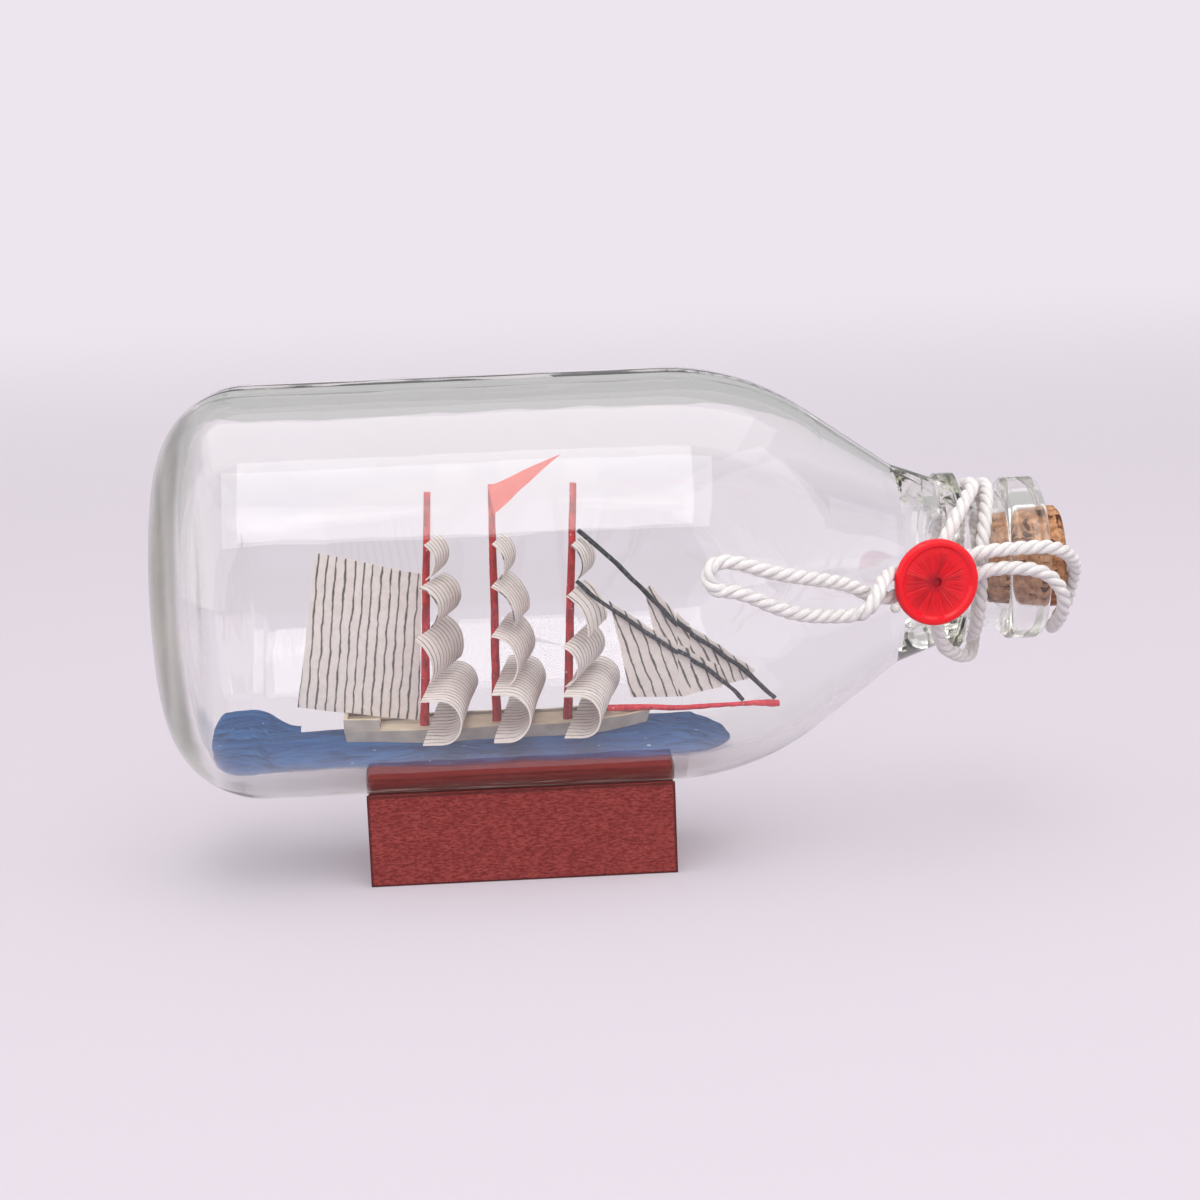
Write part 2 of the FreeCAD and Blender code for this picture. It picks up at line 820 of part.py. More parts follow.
def rounded_path(points):
    """Straight runs joined by tangent arcs, each as large as its two runs allow."""
    edges = []
    radii = []
    here = points[0]
    for before, corner, after in zip(points, points[1:], points[2:]):
        arriving = (corner - before).normalize()
        leaving = (after - corner).normalize()
        half_turn = arriving.getAngle(leaving) / 2
        setback = 0.45 * min((corner - before).Length, (after - corner).Length)
        radius = setback / math.tan(half_turn)
        start = corner - arriving * setback
        end = corner + leaving * setback
        inward = (leaving - arriving).normalize()
        middle = corner + inward * (radius / math.cos(half_turn) - radius)
        edges.append(Part.LineSegment(here, start).toShape())
        edges.append(Part.Arc(start, middle, end).toShape())
        radii.append(radius)
        here = end
    edges.append(Part.LineSegment(here, points[-1]).toShape())
    return Part.Wire(edges), radii


def arc_from(start, end, heading):
    """The arc from start to end that sets out along heading."""
    chord = end - start
    side = heading - chord * (heading.dot(chord) / chord.dot(chord))
    if side.Length < 1e-6:
        return Part.LineSegment(start, end).toShape()
    bend = heading.getAngle(chord)
    middle = (start + end) / 2 + side.normalize() * (chord.Length / 2) * math.tan(bend / 2)
    return Part.Arc(start, middle, end).toShape()


def arc_pairs(points, headings):
    """Two smooth arcs between each point and the next, along the headings given there."""
    edges = []
    for index in range(len(points) - 1):
        start, end = points[index], points[index + 1]
        out, into = headings[index], headings[index + 1]
        chord = end - start
        both = out + into
        spread = 2 * (1 - out.dot(into))
        if spread < 1e-9:
            reach = chord.dot(chord) / (4 * chord.dot(into))
        else:
            lean = chord.dot(both)
            reach = (-lean + math.sqrt(lean ** 2 + spread * chord.dot(chord))) / spread
        joint = (start + end + (out - into) * reach) / 2
        edges.append(arc_from(start, joint, out))
        heading = (end - into * reach - start - out * reach).normalize()
        edges.append(arc_from(joint, end, heading))
    return edges


def sweep_tube(name, path, radius):
    """A round tube of the given radius along the path; its volume is checked against its length."""
    start = path.Edges[0].valueAt(path.Edges[0].FirstParameter)
    heading = path.Edges[0].tangentAt(path.Edges[0].FirstParameter)
    ring = Part.Wire(Part.Circle(start, heading, radius).toShape())
    shell = Part.BRepOffsetAPI.MakePipeShell(path)
    shell.add(ring)
    shell.build()
    shell.makeSolid()
    solid = shell.shape()
    if solid.Volume < 0:
        solid.reverse()
    expected = math.pi * radius ** 2 * path.Length
    print(f"{name}: {path.Length:.2f} long, {solid.Volume / expected:.4f} of section times length")
    item = document.addObject("Part::Feature", name)
    item.Shape = solid
    return keep(name, item)


def least_gap(name, path, radius):
    """Print the least clear space between parts of one tube that lie further apart along it."""
    spacing = radius / 2
    count = int(path.Length / spacing)
    points = path.discretize(Number=count)
    apart = int(radius * 2 * math.pi / spacing)
    gap = min(
        (points[first] - points[second]).Length - radius * 2
        for first in range(count)
        for second in range(first + apart, count)
    )
    print(f"{name}: least gap to itself {gap:.2f}")


# ------------------------------------------------------------------------------------- rigging


def in_plane(point):
    """A point of the flask's upright middle plane, from its two sizes."""
    return Vector(point[0].value, 0, point[1].value)


def spar_route():
    """The slightly crooked spar: it lies on the bow's rail, dips and rises again."""
    thick = size.bowsprit_radius
    height = hull_top + thick + size.sail_seat
    start = size.hull_bow * 0.68
    length = size.bowsprit_length
    return [
        (start, height + thick * 0.3),
        (size.hull_bow, height + thick * 0.1),
        (start + length * 0.42, height - thick * 1.25),
        (start + length * 0.64, height - thick * 0.1),
        (start + length, height - thick * 0.5),
    ]


def make_bowsprit():
    path = rounded_path([in_plane(point) for point in spar_route()])[0]
    return sweep_tube("bowsprit", path, size.bowsprit_radius.value)


def on_spar(share, radius):
    """A point where a thread lands on the spar's upper side, share of the way to its tip."""
    before, tip = spar_route()[-2:]
    across = before[0] + (tip[0] - before[0]) * share
    up = before[1] + (tip[1] - before[1]) * share
    return across, up + size.bowsprit_radius + radius * 0.75 + size.thread_clear


def stay_route(fore, drop, radius, landing, sags):
    """From the fore mast's front down to the spar; each sag is (share of the way, sag as a share)."""
    height = fore.top - drop
    start = (fore.centre(height) + fore.thickness(height) + radius * 0.75 + size.thread_clear, height)
    run = landing[0] - start[0]
    fall = start[1] - landing[1]
    route = [start]
    for share, sag in sags:
        route.append((start[0] + run * share - fall * sag, start[1] - fall * share - run * sag))
    route.append(landing)
    return route


def make_stay(name, route, radius):
    path = rounded_path([in_plane(point) for point in route])[0]
    return sweep_tube(name, path, radius.value)


def above(point, lift):
    """A point square off a stay's upper side, for a stay that falls at about 45 degrees."""
    return point[0] + lift * 0.66, point[1] + lift * 0.75


def make_inner_jib(route):
    """A paper triangle behind the inner stay, its long edge turned just over the thread."""
    foot = hull_top + size.jib_foot
    tack = route[-1]
    edge = [above(point, size.jib_margin) for point in route[1:4]]
    head = (edge[0][0] + size.jib_margin * 1.3, edge[0][1] - size.jib_margin * 1.1)
    run = tack[0] - head[0]
    fall = head[1] - foot
    outline = [
        head,
        edge[1],
        edge[2],
        (tack[0] - run * 0.178, foot + fall * 0.29),
        (tack[0] - run * 0.168, foot + fall * 0.078),
        (tack[0] - run * 0.475, foot),
        (head[0] + run * 0.149, foot - fall * 0.007),
        (head[0] + run * 0.079, foot + fall * 0.5),
    ]
    near = size.inner_stay_radius + size.thread_clear
    return make_plate("inner_jib", list(reversed(outline)), near, size.paper)


def make_outer_jib(route, inner_tack):
    """The forward triangle, hung a little further off so that it passes behind the inner one."""
    foot = hull_top + size.jib_foot
    peak, *edge = [above(point, size.jib_margin) for point in route[2:5]]
    run = inner_tack[0] - peak[0]
    fall = peak[1] - foot
    outline = [
        (peak[0] - run * 0.035, peak[1] + fall * 0.069),
        *edge,
        (inner_tack[0] + run * 0.162, foot + fall * 0.21),
        (inner_tack[0] + run * 0.07, foot + fall * 0.135),
        (inner_tack[0] - run * 0.239, foot + fall * 0.091),
        (inner_tack[0] - run * 0.394, foot + fall * 0.103),
        (peak[0] - run * 0.007, peak[1] - fall * 0.411),
        (peak[0] - run * 0.106, peak[1] + fall * 0.011),
    ]
    near = size.outer_stay_radius + size.thread_clear + size.paper
    return make_plate("outer_jib", list(reversed(outline)), near, size.paper)


# ------------------------------------------------------------------- cord, wax seal and its knot


def flask_surface(across):
    """The flask's outer radius and its slope in degrees at a distance along it."""
    start = size.shoulder_start.value
    slope = size.shoulder_slope.value
    if across < start:
        return size.flask_radius.value, 0.0
    if across < shoulder_end.value:
        round_radius = size.shoulder_radius.value
        lean = math.asin((across - start) / round_radius)
        return size.flask_radius.value - round_radius * (1 - math.cos(lean)), math.degrees(lean)
    if across < cone_end.value:
        fall = (across - shoulder_end.value) * math.tan(math.radians(slope))
        return shoulder_end_radius.value - fall, slope
    collar = collar_start.value - size.cord_radius.value
    share = min((across - cone_end.value) / (collar - cone_end.value), 1.0)
    drop = cone_end_radius.value - size.collar_radius.value
    return cone_end_radius.value - drop * share, slope * (1 - share)


def round_neck(across, angle, radius):
    """A point about the flask's axis: 0 degrees is the near side, 90 the top."""
    turn = math.radians(angle)
    return Vector(across, -radius * math.cos(turn), axis_height.value + radius * math.sin(turn))


def resting(across, up, lift=0.0):
    """A cord centre lying on the near side of the flask, or held off it by lift."""
    radius, slope = flask_surface(across)
    stand_off = (size.cord_radius.value + size.cord_rest.value + lift) / math.cos(math.radians(slope))
    rise = up - axis_height.value
    return Vector(across, -math.sqrt((radius + stand_off) ** 2 - rise ** 2), up)


seal_across = collar_start - size.seal_back
seal_along = -(size.throat_radius + size.seal_stand_off)
seal_up = axis_height + size.seal_lift


def leave_knot(angle):
    """A strand's first two centres: square out of the knot's side, clear of seal and flask."""
    turn = FreeCAD.Rotation(UP, size.seal_turn.value)
    centre = Vector(seal_across.value, seal_along.value, seal_up.value)
    outward = turn.multVec(Vector(math.cos(math.radians(angle)), 0, math.sin(math.radians(angle))))
    inward = turn.multVec(Vector(0, 1, 0))
    near = size.knot_radius.value + size.cord_clear.value
    far = near + size.cord_radius.value * 2.1
    depth = size.seal_stand_off.value
    for reach in (near, far):
        low, high = 0.0, size.seal_stand_off.value * 2
        for _ in range(40):
            middle = (low + high) / 2
            point = centre + outward * reach + inward * middle
            seat = resting(point.x, point.z)
            low, high = (middle, high) if point.y < seat.y else (low, middle)
        depth = min(depth, low)
    return [centre + outward * reach + inward * depth for reach in (near, far)]


def place_on_neck(item):
    place(item, seal_across, seal_along, seal_up, axis=UP, angle=size.seal_turn)


def make_seal():
    """A round wax seal: flat back, rounded edge, raised rim and a small pit in the middle."""
    body = new_body("seal")
    sketch = new_sketch(body, "seal_outline", "XY_Plane")
    outer = size.seal_radius
    edge = size.seal_edge
    face = -size.seal_thickness
    floor = face + size.seal_dish
    corners = [
        (Size.of(0), Size.of(0)),
        (outer - edge, Size.of(0)),
        (outer, -edge),
        (outer, face + edge),
        (outer - edge, face),
        (outer - size.seal_rim, face),
        (outer - size.seal_rim - size.seal_dish, floor),
        (size.pit_radius, floor),
        (size.pit_radius * 0.8, floor + size.pit_depth),
        (Size.of(0), floor + size.pit_depth),
    ]
    draw_outline(sketch, corners, {3: (edge, -1)})
    revolve(body, "seal_wax", sketch, "V_Axis")
    place_on_neck(body)
    return keep("seal", body)


def make_knot():
    """The waxed knot: a round lump from the seal's back down to the flask, cut to lie on it."""
    lump = new_body("knot_lump")
    sketch = new_sketch(lump, "knot_outline", "XY_Plane")
    radius = size.knot_radius
    curve = size.knot_round
    clear = size.cord_clear
    inner = size.seal_stand_off + size.knot_reach
    corners = [
        (Size.of(0), clear),
        (radius - curve, clear),
        (radius, clear + curve),
        (radius, inner),
        (Size.of(0), inner),
    ]
    draw_outline(sketch, corners, {1: (curve, 1)})
    revolve(lump, "knot_round", sketch, "V_Axis")
    place_on_neck(lump)

    bed = new_body("knot_bed")
    outline = new_sketch(bed, "knot_bed_outline", "XZ_Plane")
    raised = clear / cosine(size.shoulder_slope)
    corners = [
        (size.shoulder_start, Size.of(0)),
        (size.shoulder_start, size.flask_radius + raised),
        (shoulder_end, shoulder_end_radius + raised),
        (cone_end, cone_end_radius + raised),
        (throat_start, size.throat_radius + raised),
        (collar_start - clear, size.throat_radius + raised),
        (collar_start - clear, size.collar_radius + clear),
        (mouth, size.collar_radius + clear),
        (mouth, Size.of(0)),
    ]
    draw_outline(outline, corners, {1: (size.shoulder_radius, -1)})
    revolve(bed, "knot_bed_round", outline)
    place(bed, up=axis_height)

    knot = document.addObject("Part::Cut", "knot")
    knot.Base = lump
    knot.Tool = bed
    return keep("knot", knot)


def make_glue():
    """A dried bead of glue against the seal's edge, over the loop's strands."""
    bead = document.addObject("Part::Sphere", "glue")
    bead.Radius = size.glue_radius.value
    bead.setExpression("Radius", size.glue_radius.formula)
    reach = size.seal_radius + size.glue_radius + size.cord_clear
    sideways = reach * cosine(size.glue_angle)
    outward = size.seal_thickness * 0.6
    place(bead, seal_across + sideways * cosine(size.seal_turn) + outward * sine(size.seal_turn),
          seal_along + sideways * sine(size.seal_turn) - outward * cosine(size.seal_turn),
          seal_up + reach * sine(size.glue_angle))
    return keep("glue", bead)


# The loop's centres from the seal round its far bend and back: shares of its reach back from the
# seal and of its rise over the axis, then how far it is held off the glass, in cord radii.
LOOP_SHAPE = (
    (0.272, -0.1, 0.0),
    (0.373, 0.235, 0.0),
    (0.501, 0.432, 0.0),
    (0.651, 0.617, 0.0),
    (0.771, 0.79, 0.0),
    (0.842, 0.926, 0.0),
    (0.902, 1.0, 0.0),
    (0.967, 0.988, 0.0),
    (1.0, 0.741, 0.0),
    (0.967, 0.481, 0.0),
    (0.902, 0.457, 0.0),
    (0.826, 0.346, 0.0),
    (0.719, 0.062, 0.0),
    (0.597, -0.173, 0.0),
    (0.466, -0.296, 0.0),
    (0.36, -0.34, 1.0),
    (0.313, -0.235, 2.9),
    (0.264, 0.062, 2.9),
    (0.234, 0.247, 1.6),
)


def make_hanging_loop():
    """One long bight of the cord's spare end, lying along the shoulder and back to the knot."""
    route = leave_knot(203.0)
    for back, rise, lift in LOOP_SHAPE:
        across = seal_across.value - size.loop_reach.value * back
        up = axis_height.value + size.loop_rise.value * rise
        route.append(resting(across, up, size.cord_radius.value * lift))
    route += reversed(leave_knot(164.0))
    path, radii = rounded_path(route)
    print("hanging_loop: bend radii", " ".join(f"{radius:.1f}" for radius in radii))
    least_gap("hanging_loop", path, size.cord_radius.value)
    return sweep_tube("hanging_loop", path, size.cord_radius.value)


def eased(stations, angle):
    """Between stations of (angle, across, radius) the place changes smoothly."""
    for before, after in zip(stations, stations[1:]):
        if angle <= after[0]:
            break
    share = min(max((angle - before[0]) / (after[0] - before[0]), 0.0), 1.0)
    share = share * share * (3 - 2 * share)
    across = before[1] + (after[1] - before[1]) * share
    radius = before[2] + (after[2] - before[2]) * share
    return round_neck(across, angle, radius)


def make_neck_wrap():
    """Two turns of cord in the groove of the neck; both ends climb over the collar to the knot."""
    cord = size.cord_radius.value
    ride = cord + size.cord_clear.value
    groove = size.neck_radius.value + ride
    over_collar = size.collar_radius.value + ride + cord * 0.13
    first = collar_end.value + ride + cord * 0.45
    second = first + size.wrap_pitch.value
    crossing = groove + cord * 2.58
    start = leave_knot(57.0)
    finish = list(reversed(leave_knot(-75.0)))
    stations = [
        (43.0, collar_end.value - cord, over_collar),
        (61.0, first - cord * 0.27, over_collar - cord * 0.54),
        (78.0, first, groove + cord * 0.8),
        (94.0, first, groove),
        (360.0, first, groove),
        (450.0, second, groove),
        (556.0, second, groove),
        (604.0, second - cord * 0.71, crossing),
        (630.0, first + cord * 0.54, over_collar),
        (652.0, collar_end.value - cord * 0.8, over_collar),
        (670.0, collar_start.value - cord * 0.36, over_collar),
    ]
    angles = [43.0, 55.0, 67.0, 80.0, 94.0]
    angles += [94.0 + (360.0 - 94.0) * step / 6 for step in range(1, 7)]
    angles += [390.0, 420.0, 450.0, 485.0, 520.0, 556.0, 580.0, 604.0, 630.0, 652.0, 670.0]
    points = start + [eased(stations, angle) for angle in angles] + finish
    small = 0.5
    headings = [(start[1] - start[0]).normalize()] * 2
    for angle in angles:
        ahead = eased(stations, min(angle + small, stations[-1][0]))
        behind = eased(stations, max(angle - small, stations[0][0]))
        headings.append((ahead - behind).normalize())
    headings[2] = (points[3] - points[1]).normalize()
    headings[-1] = (finish[0] - points[-4]).normalize()
    headings += [(finish[1] - finish[0]).normalize()] * 2
    path = Part.Wire(arc_pairs(points, headings))
    least_gap("neck_wrap", path, size.cord_radius.value)
    return sweep_tube("neck_wrap", path, size.cord_radius.value)


def make_cork_tie():
    """One cord from the knot over the lip, across the cork, round under it and back to the knot."""
    cord = size.cord_radius.value
    ride = cord + size.cord_clear.value
    over_lip = size.lip_radius.value + ride + cord * 0.53
    over_collar = size.collar_radius.value + ride + cord * 0.09
    rim = mouth.value + ride
    front = rim + size.cork_proud.value + cord * 0.2
    lip_middle = (neck_end.value + mouth.value) / 2
    edge = mouth.value + cord * 0.27
    cork_edge = size.bore_radius.value + cord * 0.36
    under_cork = (size.lip_radius.value + size.bore_radius.value + cord) / 2
    route = [
        *leave_knot(20.5),
        round_neck(collar_end.value + cord * 0.9, 15.5, over_collar),
        round_neck(lip_middle - cord * 1.8, 17.0, over_lip),
        round_neck(edge, 17.0, over_lip),
        round_neck(front, 4.0, cork_edge),
        round_neck(front, -52.0, cork_edge * 0.66),
        round_neck(front, -84.0, cork_edge * 0.88),
        round_neck(rim + cord * 1.5, -90.0, under_cork),
        round_neck(rim + cord * 0.3, -72.0, under_cork + cord * 0.4),
        round_neck(rim + cord * 0.3, -50.0, under_cork + cord * 0.9),
        round_neck(rim + cord * 0.7, -30.0, over_lip - cord * 1.56),
        round_neck(edge + cord, -11.0, over_lip - cord * 0.67),
        round_neck(lip_middle + cord * 0.8, 4.5, over_lip + cord * 0.1),
        round_neck(collar_end.value + cord * 1.34, 6.0, over_collar - cord * 0.09),
        *reversed(leave_knot(-18.5)),
    ]
    path, radii = rounded_path(route)
    print("cork_tie: bend radii", " ".join(f"{radius:.1f}" for radius in radii))
    least_gap("cork_tie", path, size.cord_radius.value)
    return sweep_tube("cork_tie", path, size.cord_radius.value)


# --------------------------------------------------------------------------------------- build

bottle = make_bottle()
cork = make_cork()
stand = make_stand()
hull = make_hull()
sea = make_sea(hull)
masts = {name: Mast(name) for name in SAILS}
for mast in masts.values():
    make_mast(mast)
    for tier in TIERS:
        make_sail(mast, tier)
make_spanker(masts["mizzen"])
make_pennant(masts["main"])
make_bowsprit()
outer_route = stay_route(masts["fore"], size.outer_stay_drop, size.outer_stay_radius,
                         on_spar(0.93, size.outer_stay_radius),
                         [(0.16, -0.006), (0.38, 0.008), (0.54, 0.021), (0.67, 0.012), (0.84, -0.009)])
inner_route = stay_route(masts["fore"], size.inner_stay_drop, size.inner_stay_radius,
                         on_spar(0.4, size.inner_stay_radius),
                         [(0.14, 0.012), (0.42, 0.003), (0.7, -0.018), (0.85, -0.021)])
make_stay("outer_stay", outer_route, size.outer_stay_radius)
make_stay("inner_stay", inner_route, size.inner_stay_radius)
make_inner_jib(inner_route)
make_outer_jib(outer_route, inner_route[-1])
make_seal()
make_knot()
make_glue()
make_neck_wrap()
make_cork_tie()
make_hanging_loop()

document.recompute()
for item in document.Objects:
    assert "Invalid" not in item.State and "Error" not in item.State, (item.Name, item.State)
os.makedirs("parts", exist_ok=True)
for name, item in nodes.items():
    shape = item.Shape
    assert not shape.isNull() and shape.isValid(), name
    shape.exportStep(f"parts/{name}.step")
    box = shape.optimalBoundingBox(False)
    print(f"{name}: volume {shape.Volume:.1f}, box {box.XMin:.2f} {box.YMin:.2f} {box.ZMin:.2f} "
          f"to {box.XMax:.2f} {box.YMax:.2f} {box.ZMax:.2f}")
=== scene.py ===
import math

import bpy
import numpy as np
from mathutils import Matrix, Vector


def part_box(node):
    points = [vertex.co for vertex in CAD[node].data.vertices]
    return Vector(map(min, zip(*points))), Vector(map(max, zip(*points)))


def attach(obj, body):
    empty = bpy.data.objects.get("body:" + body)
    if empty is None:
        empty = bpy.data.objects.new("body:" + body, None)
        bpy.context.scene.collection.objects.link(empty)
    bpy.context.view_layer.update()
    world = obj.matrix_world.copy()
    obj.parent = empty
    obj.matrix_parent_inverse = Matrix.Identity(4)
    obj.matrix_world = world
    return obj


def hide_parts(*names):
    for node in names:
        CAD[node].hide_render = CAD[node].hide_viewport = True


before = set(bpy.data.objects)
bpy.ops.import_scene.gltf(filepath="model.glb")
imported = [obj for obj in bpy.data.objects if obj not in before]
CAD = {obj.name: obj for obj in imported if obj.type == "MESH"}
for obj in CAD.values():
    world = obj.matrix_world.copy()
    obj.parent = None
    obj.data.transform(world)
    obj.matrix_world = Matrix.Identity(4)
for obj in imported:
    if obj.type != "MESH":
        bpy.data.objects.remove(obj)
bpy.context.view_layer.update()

# A glass flask in a wooden cradle with a paper-sailed ship inside. Metres, +Z up, -Y is the near side.

MM = 0.001
AXIS = 0.0473  # height of the flask's axis
PAPER_SAILS = ("course", "topsail", "topgallant", "royal")
MASTS = ("mizzen", "main", "fore")

# What an empty start of Blender may leave in the scene.
for leftover in ("Cube", "Light", "Camera"):
    if leftover in bpy.data.objects:
        bpy.data.objects.remove(bpy.data.objects[leftover])


# ------------------------------------------------------------------------------------ camera

GLASS_BOUNCES = 32  # enough for light that is mirrored on and on inside the glass wall
MIRROR_BOUNCES = 16


def make_camera(azimuth, elevation, roll, distance, lens, target):
    """A camera that looks at target; angles in degrees, and roll turns the picture so that the neck rises."""
    a, e, r = (math.radians(angle) for angle in (azimuth, elevation, roll))
    back = Vector((math.sin(a) * math.cos(e), -math.cos(a) * math.cos(e), math.sin(e)))
    right = Vector((math.cos(a), math.sin(a), 0.0))
    up = back.cross(right)
    across = right * math.cos(r) - up * math.sin(r)
    upward = right * math.sin(r) + up * math.cos(r)
    data = bpy.data.cameras.new("product_view")
    data.lens = lens
    data.sensor_width = 36.0
    data.clip_start = 0.02
    data.clip_end = 20.0
    camera = bpy.data.objects.new("product_view", data)
    bpy.context.scene.collection.objects.link(camera)
    turn = Matrix((across, upward, back)).transposed().to_4x4()
    camera.matrix_world = Matrix.Translation(target + back * distance) @ turn
    bpy.context.scene.camera = camera


scene = bpy.context.scene
scene.view_settings.view_transform = "Standard"
scene.cycles.max_bounces = GLASS_BOUNCES
scene.cycles.transmission_bounces = GLASS_BOUNCES
scene.cycles.glossy_bounces = MIRROR_BOUNCES
make_camera(
    azimuth=-1.936,
    elevation=12.0,
    roll=2.223,
    distance=0.437,
    lens=80.28,
    target=Vector((14.284, 0.0, 43.311)) * MM,
)


# ----------------------------------------------------------------------------------- surfaces


def grid_faces(rows, columns, closed):
    """Corner numbers of a grid's quads, outward for points that turn anticlockwise about the run."""
    across = np.arange(columns if closed else columns - 1)
    row, column = np.meshgrid(np.arange(rows - 1), across, indexing="ij")
    after = (column + 1) % columns
    start, end = row * columns, (row + 1) * columns
    return np.stack([start + column, start + after, end + after, end + column], -1).reshape(-1, 4)


def make_mesh(name, points, quads, rims=(), uv=None):
    """A smooth mesh of quads, each rim closed by one flat face; uv has a place for each quad corner."""
    mesh = bpy.data.meshes.new(name)
    mesh.vertices.add(len(points))
    mesh.vertices.foreach_set("co", np.asarray(points, np.float32).ravel())
    loops = np.concatenate([quads.ravel(), *rims]).astype(np.int32)
    totals = np.concatenate([np.full(len(quads), 4), [len(rim) for rim in rims]]).astype(np.int32)
    mesh.loops.add(len(loops))
    mesh.loops.foreach_set("vertex_index", loops)
    mesh.polygons.add(len(totals))
    mesh.polygons.foreach_set("loop_start", (np.cumsum(totals) - totals).astype(np.int32))
    mesh.polygons.foreach_set("use_smooth", np.arange(len(totals)) < len(quads))
    if uv is not None:
        layer = mesh.uv_layers.new(name="along_and_round")
        places = np.zeros((len(loops), 2), np.float32)
        places[: len(uv)] = uv
        layer.data.foreach_set("uv", places.ravel())
    mesh.update(calc_edges=True)
    mesh.validate()
    piece = bpy.data.objects.new(name, mesh)
    bpy.context.scene.collection.objects.link(piece)
    return piece


def unit(vectors):
    return vectors / np.linalg.norm(vectors, axis=-1, keepdims=True)


def even_path(points, spacing):
    """The same line with points at an even spacing, and the distance along it."""
    points = np.asarray(points, float)
    travelled = np.concatenate([[0.0], np.cumsum(np.linalg.norm(np.diff(points, axis=0), axis=1))])
    along = np.linspace(0.0, travelled[-1], int(travelled[-1] / spacing) + 1)
    return np.stack([np.interp(along, travelled, points[:, axis]) for axis in range(3)], -1), along


def frames_along(line, outward):
    """Unit vectors out from the line and sideways to it, for each of its points."""
    heading = unit(np.gradient(line, axis=0))
    out = unit(outward - heading * np.sum(outward * heading, -1, keepdims=True))
    return out, np.cross(heading, out)


def tube_points(line, outward, radius, sides):
    """P(s, v) = C(s) + radius(s) * (out(s) cos v + side(s) sin v)."""
    out, side = frames_along(line, outward)
    turn = np.arange(sides) / sides * 2 * np.pi
    radius = np.broadcast_to(radius, (len(line),))[:, None, None]
    ring = out[:, None] * np.cos(turn)[None, :, None] + side[:, None] * np.sin(turn)[None, :, None]
    return line[:, None] + ring * radius


def tubes(name, lines, outwards, radii, sides):
    """Several capped tubes in one mesh, with their length in metres and share round as UV."""
    points, quads, rims, places, first = [], [], [], [], 0
    for line, outward, radius in zip(lines, outwards, radii):
        points.append(tube_points(line, outward, radius, sides).reshape(-1, 3))
        quads.append(grid_faces(len(line), sides, True) + first)
        rims.append(np.arange(sides)[::-1] + first)
        rims.append(np.arange(sides) + first + (len(line) - 1) * sides)
        along = np.concatenate([[0.0], np.cumsum(np.linalg.norm(np.diff(line, axis=0), axis=1))])
        row, column = np.meshgrid(np.arange(len(line) - 1), np.arange(sides), indexing="ij")
        u = np.stack([along[row], along[row], along[row + 1], along[row + 1]], -1)
        v = np.stack([column, column + 1, column + 1, column], -1) / sides
        places.append(np.stack([u, v], -1).reshape(-1, 2))
        first += len(line) * sides
    return make_mesh(name, np.concatenate(points), np.concatenate(quads), rims, np.concatenate(places))


def spline_line(name, points, steps=24):
    """The points along an open NURBS spline of order 3 that starts and ends on its control points."""
    curve = bpy.data.curves.new(name, "CURVE")
    curve.dimensions = "3D"
    spline = curve.splines.new("NURBS")
    spline.points.add(len(points) - 1)
    spline.points.foreach_set("co", np.c_[np.asarray(points), np.ones(len(points))].ravel())
    spline.order_u = 3
    spline.use_endpoint_u = True
    spline.resolution_u = steps
    holder = bpy.data.objects.new(name, curve)
    bpy.context.scene.collection.objects.link(holder)
    bpy.context.view_layer.update()
    mesh = bpy.data.meshes.new_from_object(holder)
    line = np.zeros(len(mesh.vertices) * 3, np.float32)
    mesh.vertices.foreach_get("co", line)
    bpy.data.objects.remove(holder)
    bpy.data.meshes.remove(mesh)
    return line.reshape(-1, 3).astype(float)


# -------------------------------------------------------------------------------------- cords

CORD_RADIUS = 1.12 * MM
CORD_LAY = 6.4 * MM  # length of one full twist
CORD_STEP = 0.22 * CORD_RADIUS
PLIES = 3
PLY_RADIUS = 0.56 * CORD_RADIUS
PLY_OFFSET = 0.47 * CORD_RADIUS  # from the cord's middle to the middle of a ply
PLY_SIDES = 12
CORK_MIDDLE = 82.0 * MM  # along the axis, inside the lip


def laid_cord(name, line, heart):
    """Three plies twisted together along a line.

    Ply k runs on C(s) + offset (out cos w + side sin w), where w = 2 pi (k / 3 - s / lay). Out points away
    from the heart of what the cord goes round.
    """
    line, along = even_path(line, CORD_STEP)
    out, side = frames_along(line, line - heart(line))
    lines, outwards = [], []
    for ply in range(PLIES):
        turn = (-along / CORD_LAY + ply / PLIES)[:, None] * 2 * np.pi
        away = out * np.cos(turn) + side * np.sin(turn)
        lines.append(line + away * PLY_OFFSET)
        outwards.append(away)
    return tubes(name, lines, outwards, [PLY_RADIUS] * PLIES, PLY_SIDES)


def flask_axis(line):
    """The nearest points of the flask's axis."""
    return np.stack([line[:, 0], np.zeros(len(line)), np.full(len(line), AXIS)], -1)


def lip_heart(line):
    """One point inside the cork, which every part of the cord over the lip goes round."""
    return np.broadcast_to(np.array([CORK_MIDDLE, 0.0, AXIS]), line.shape)


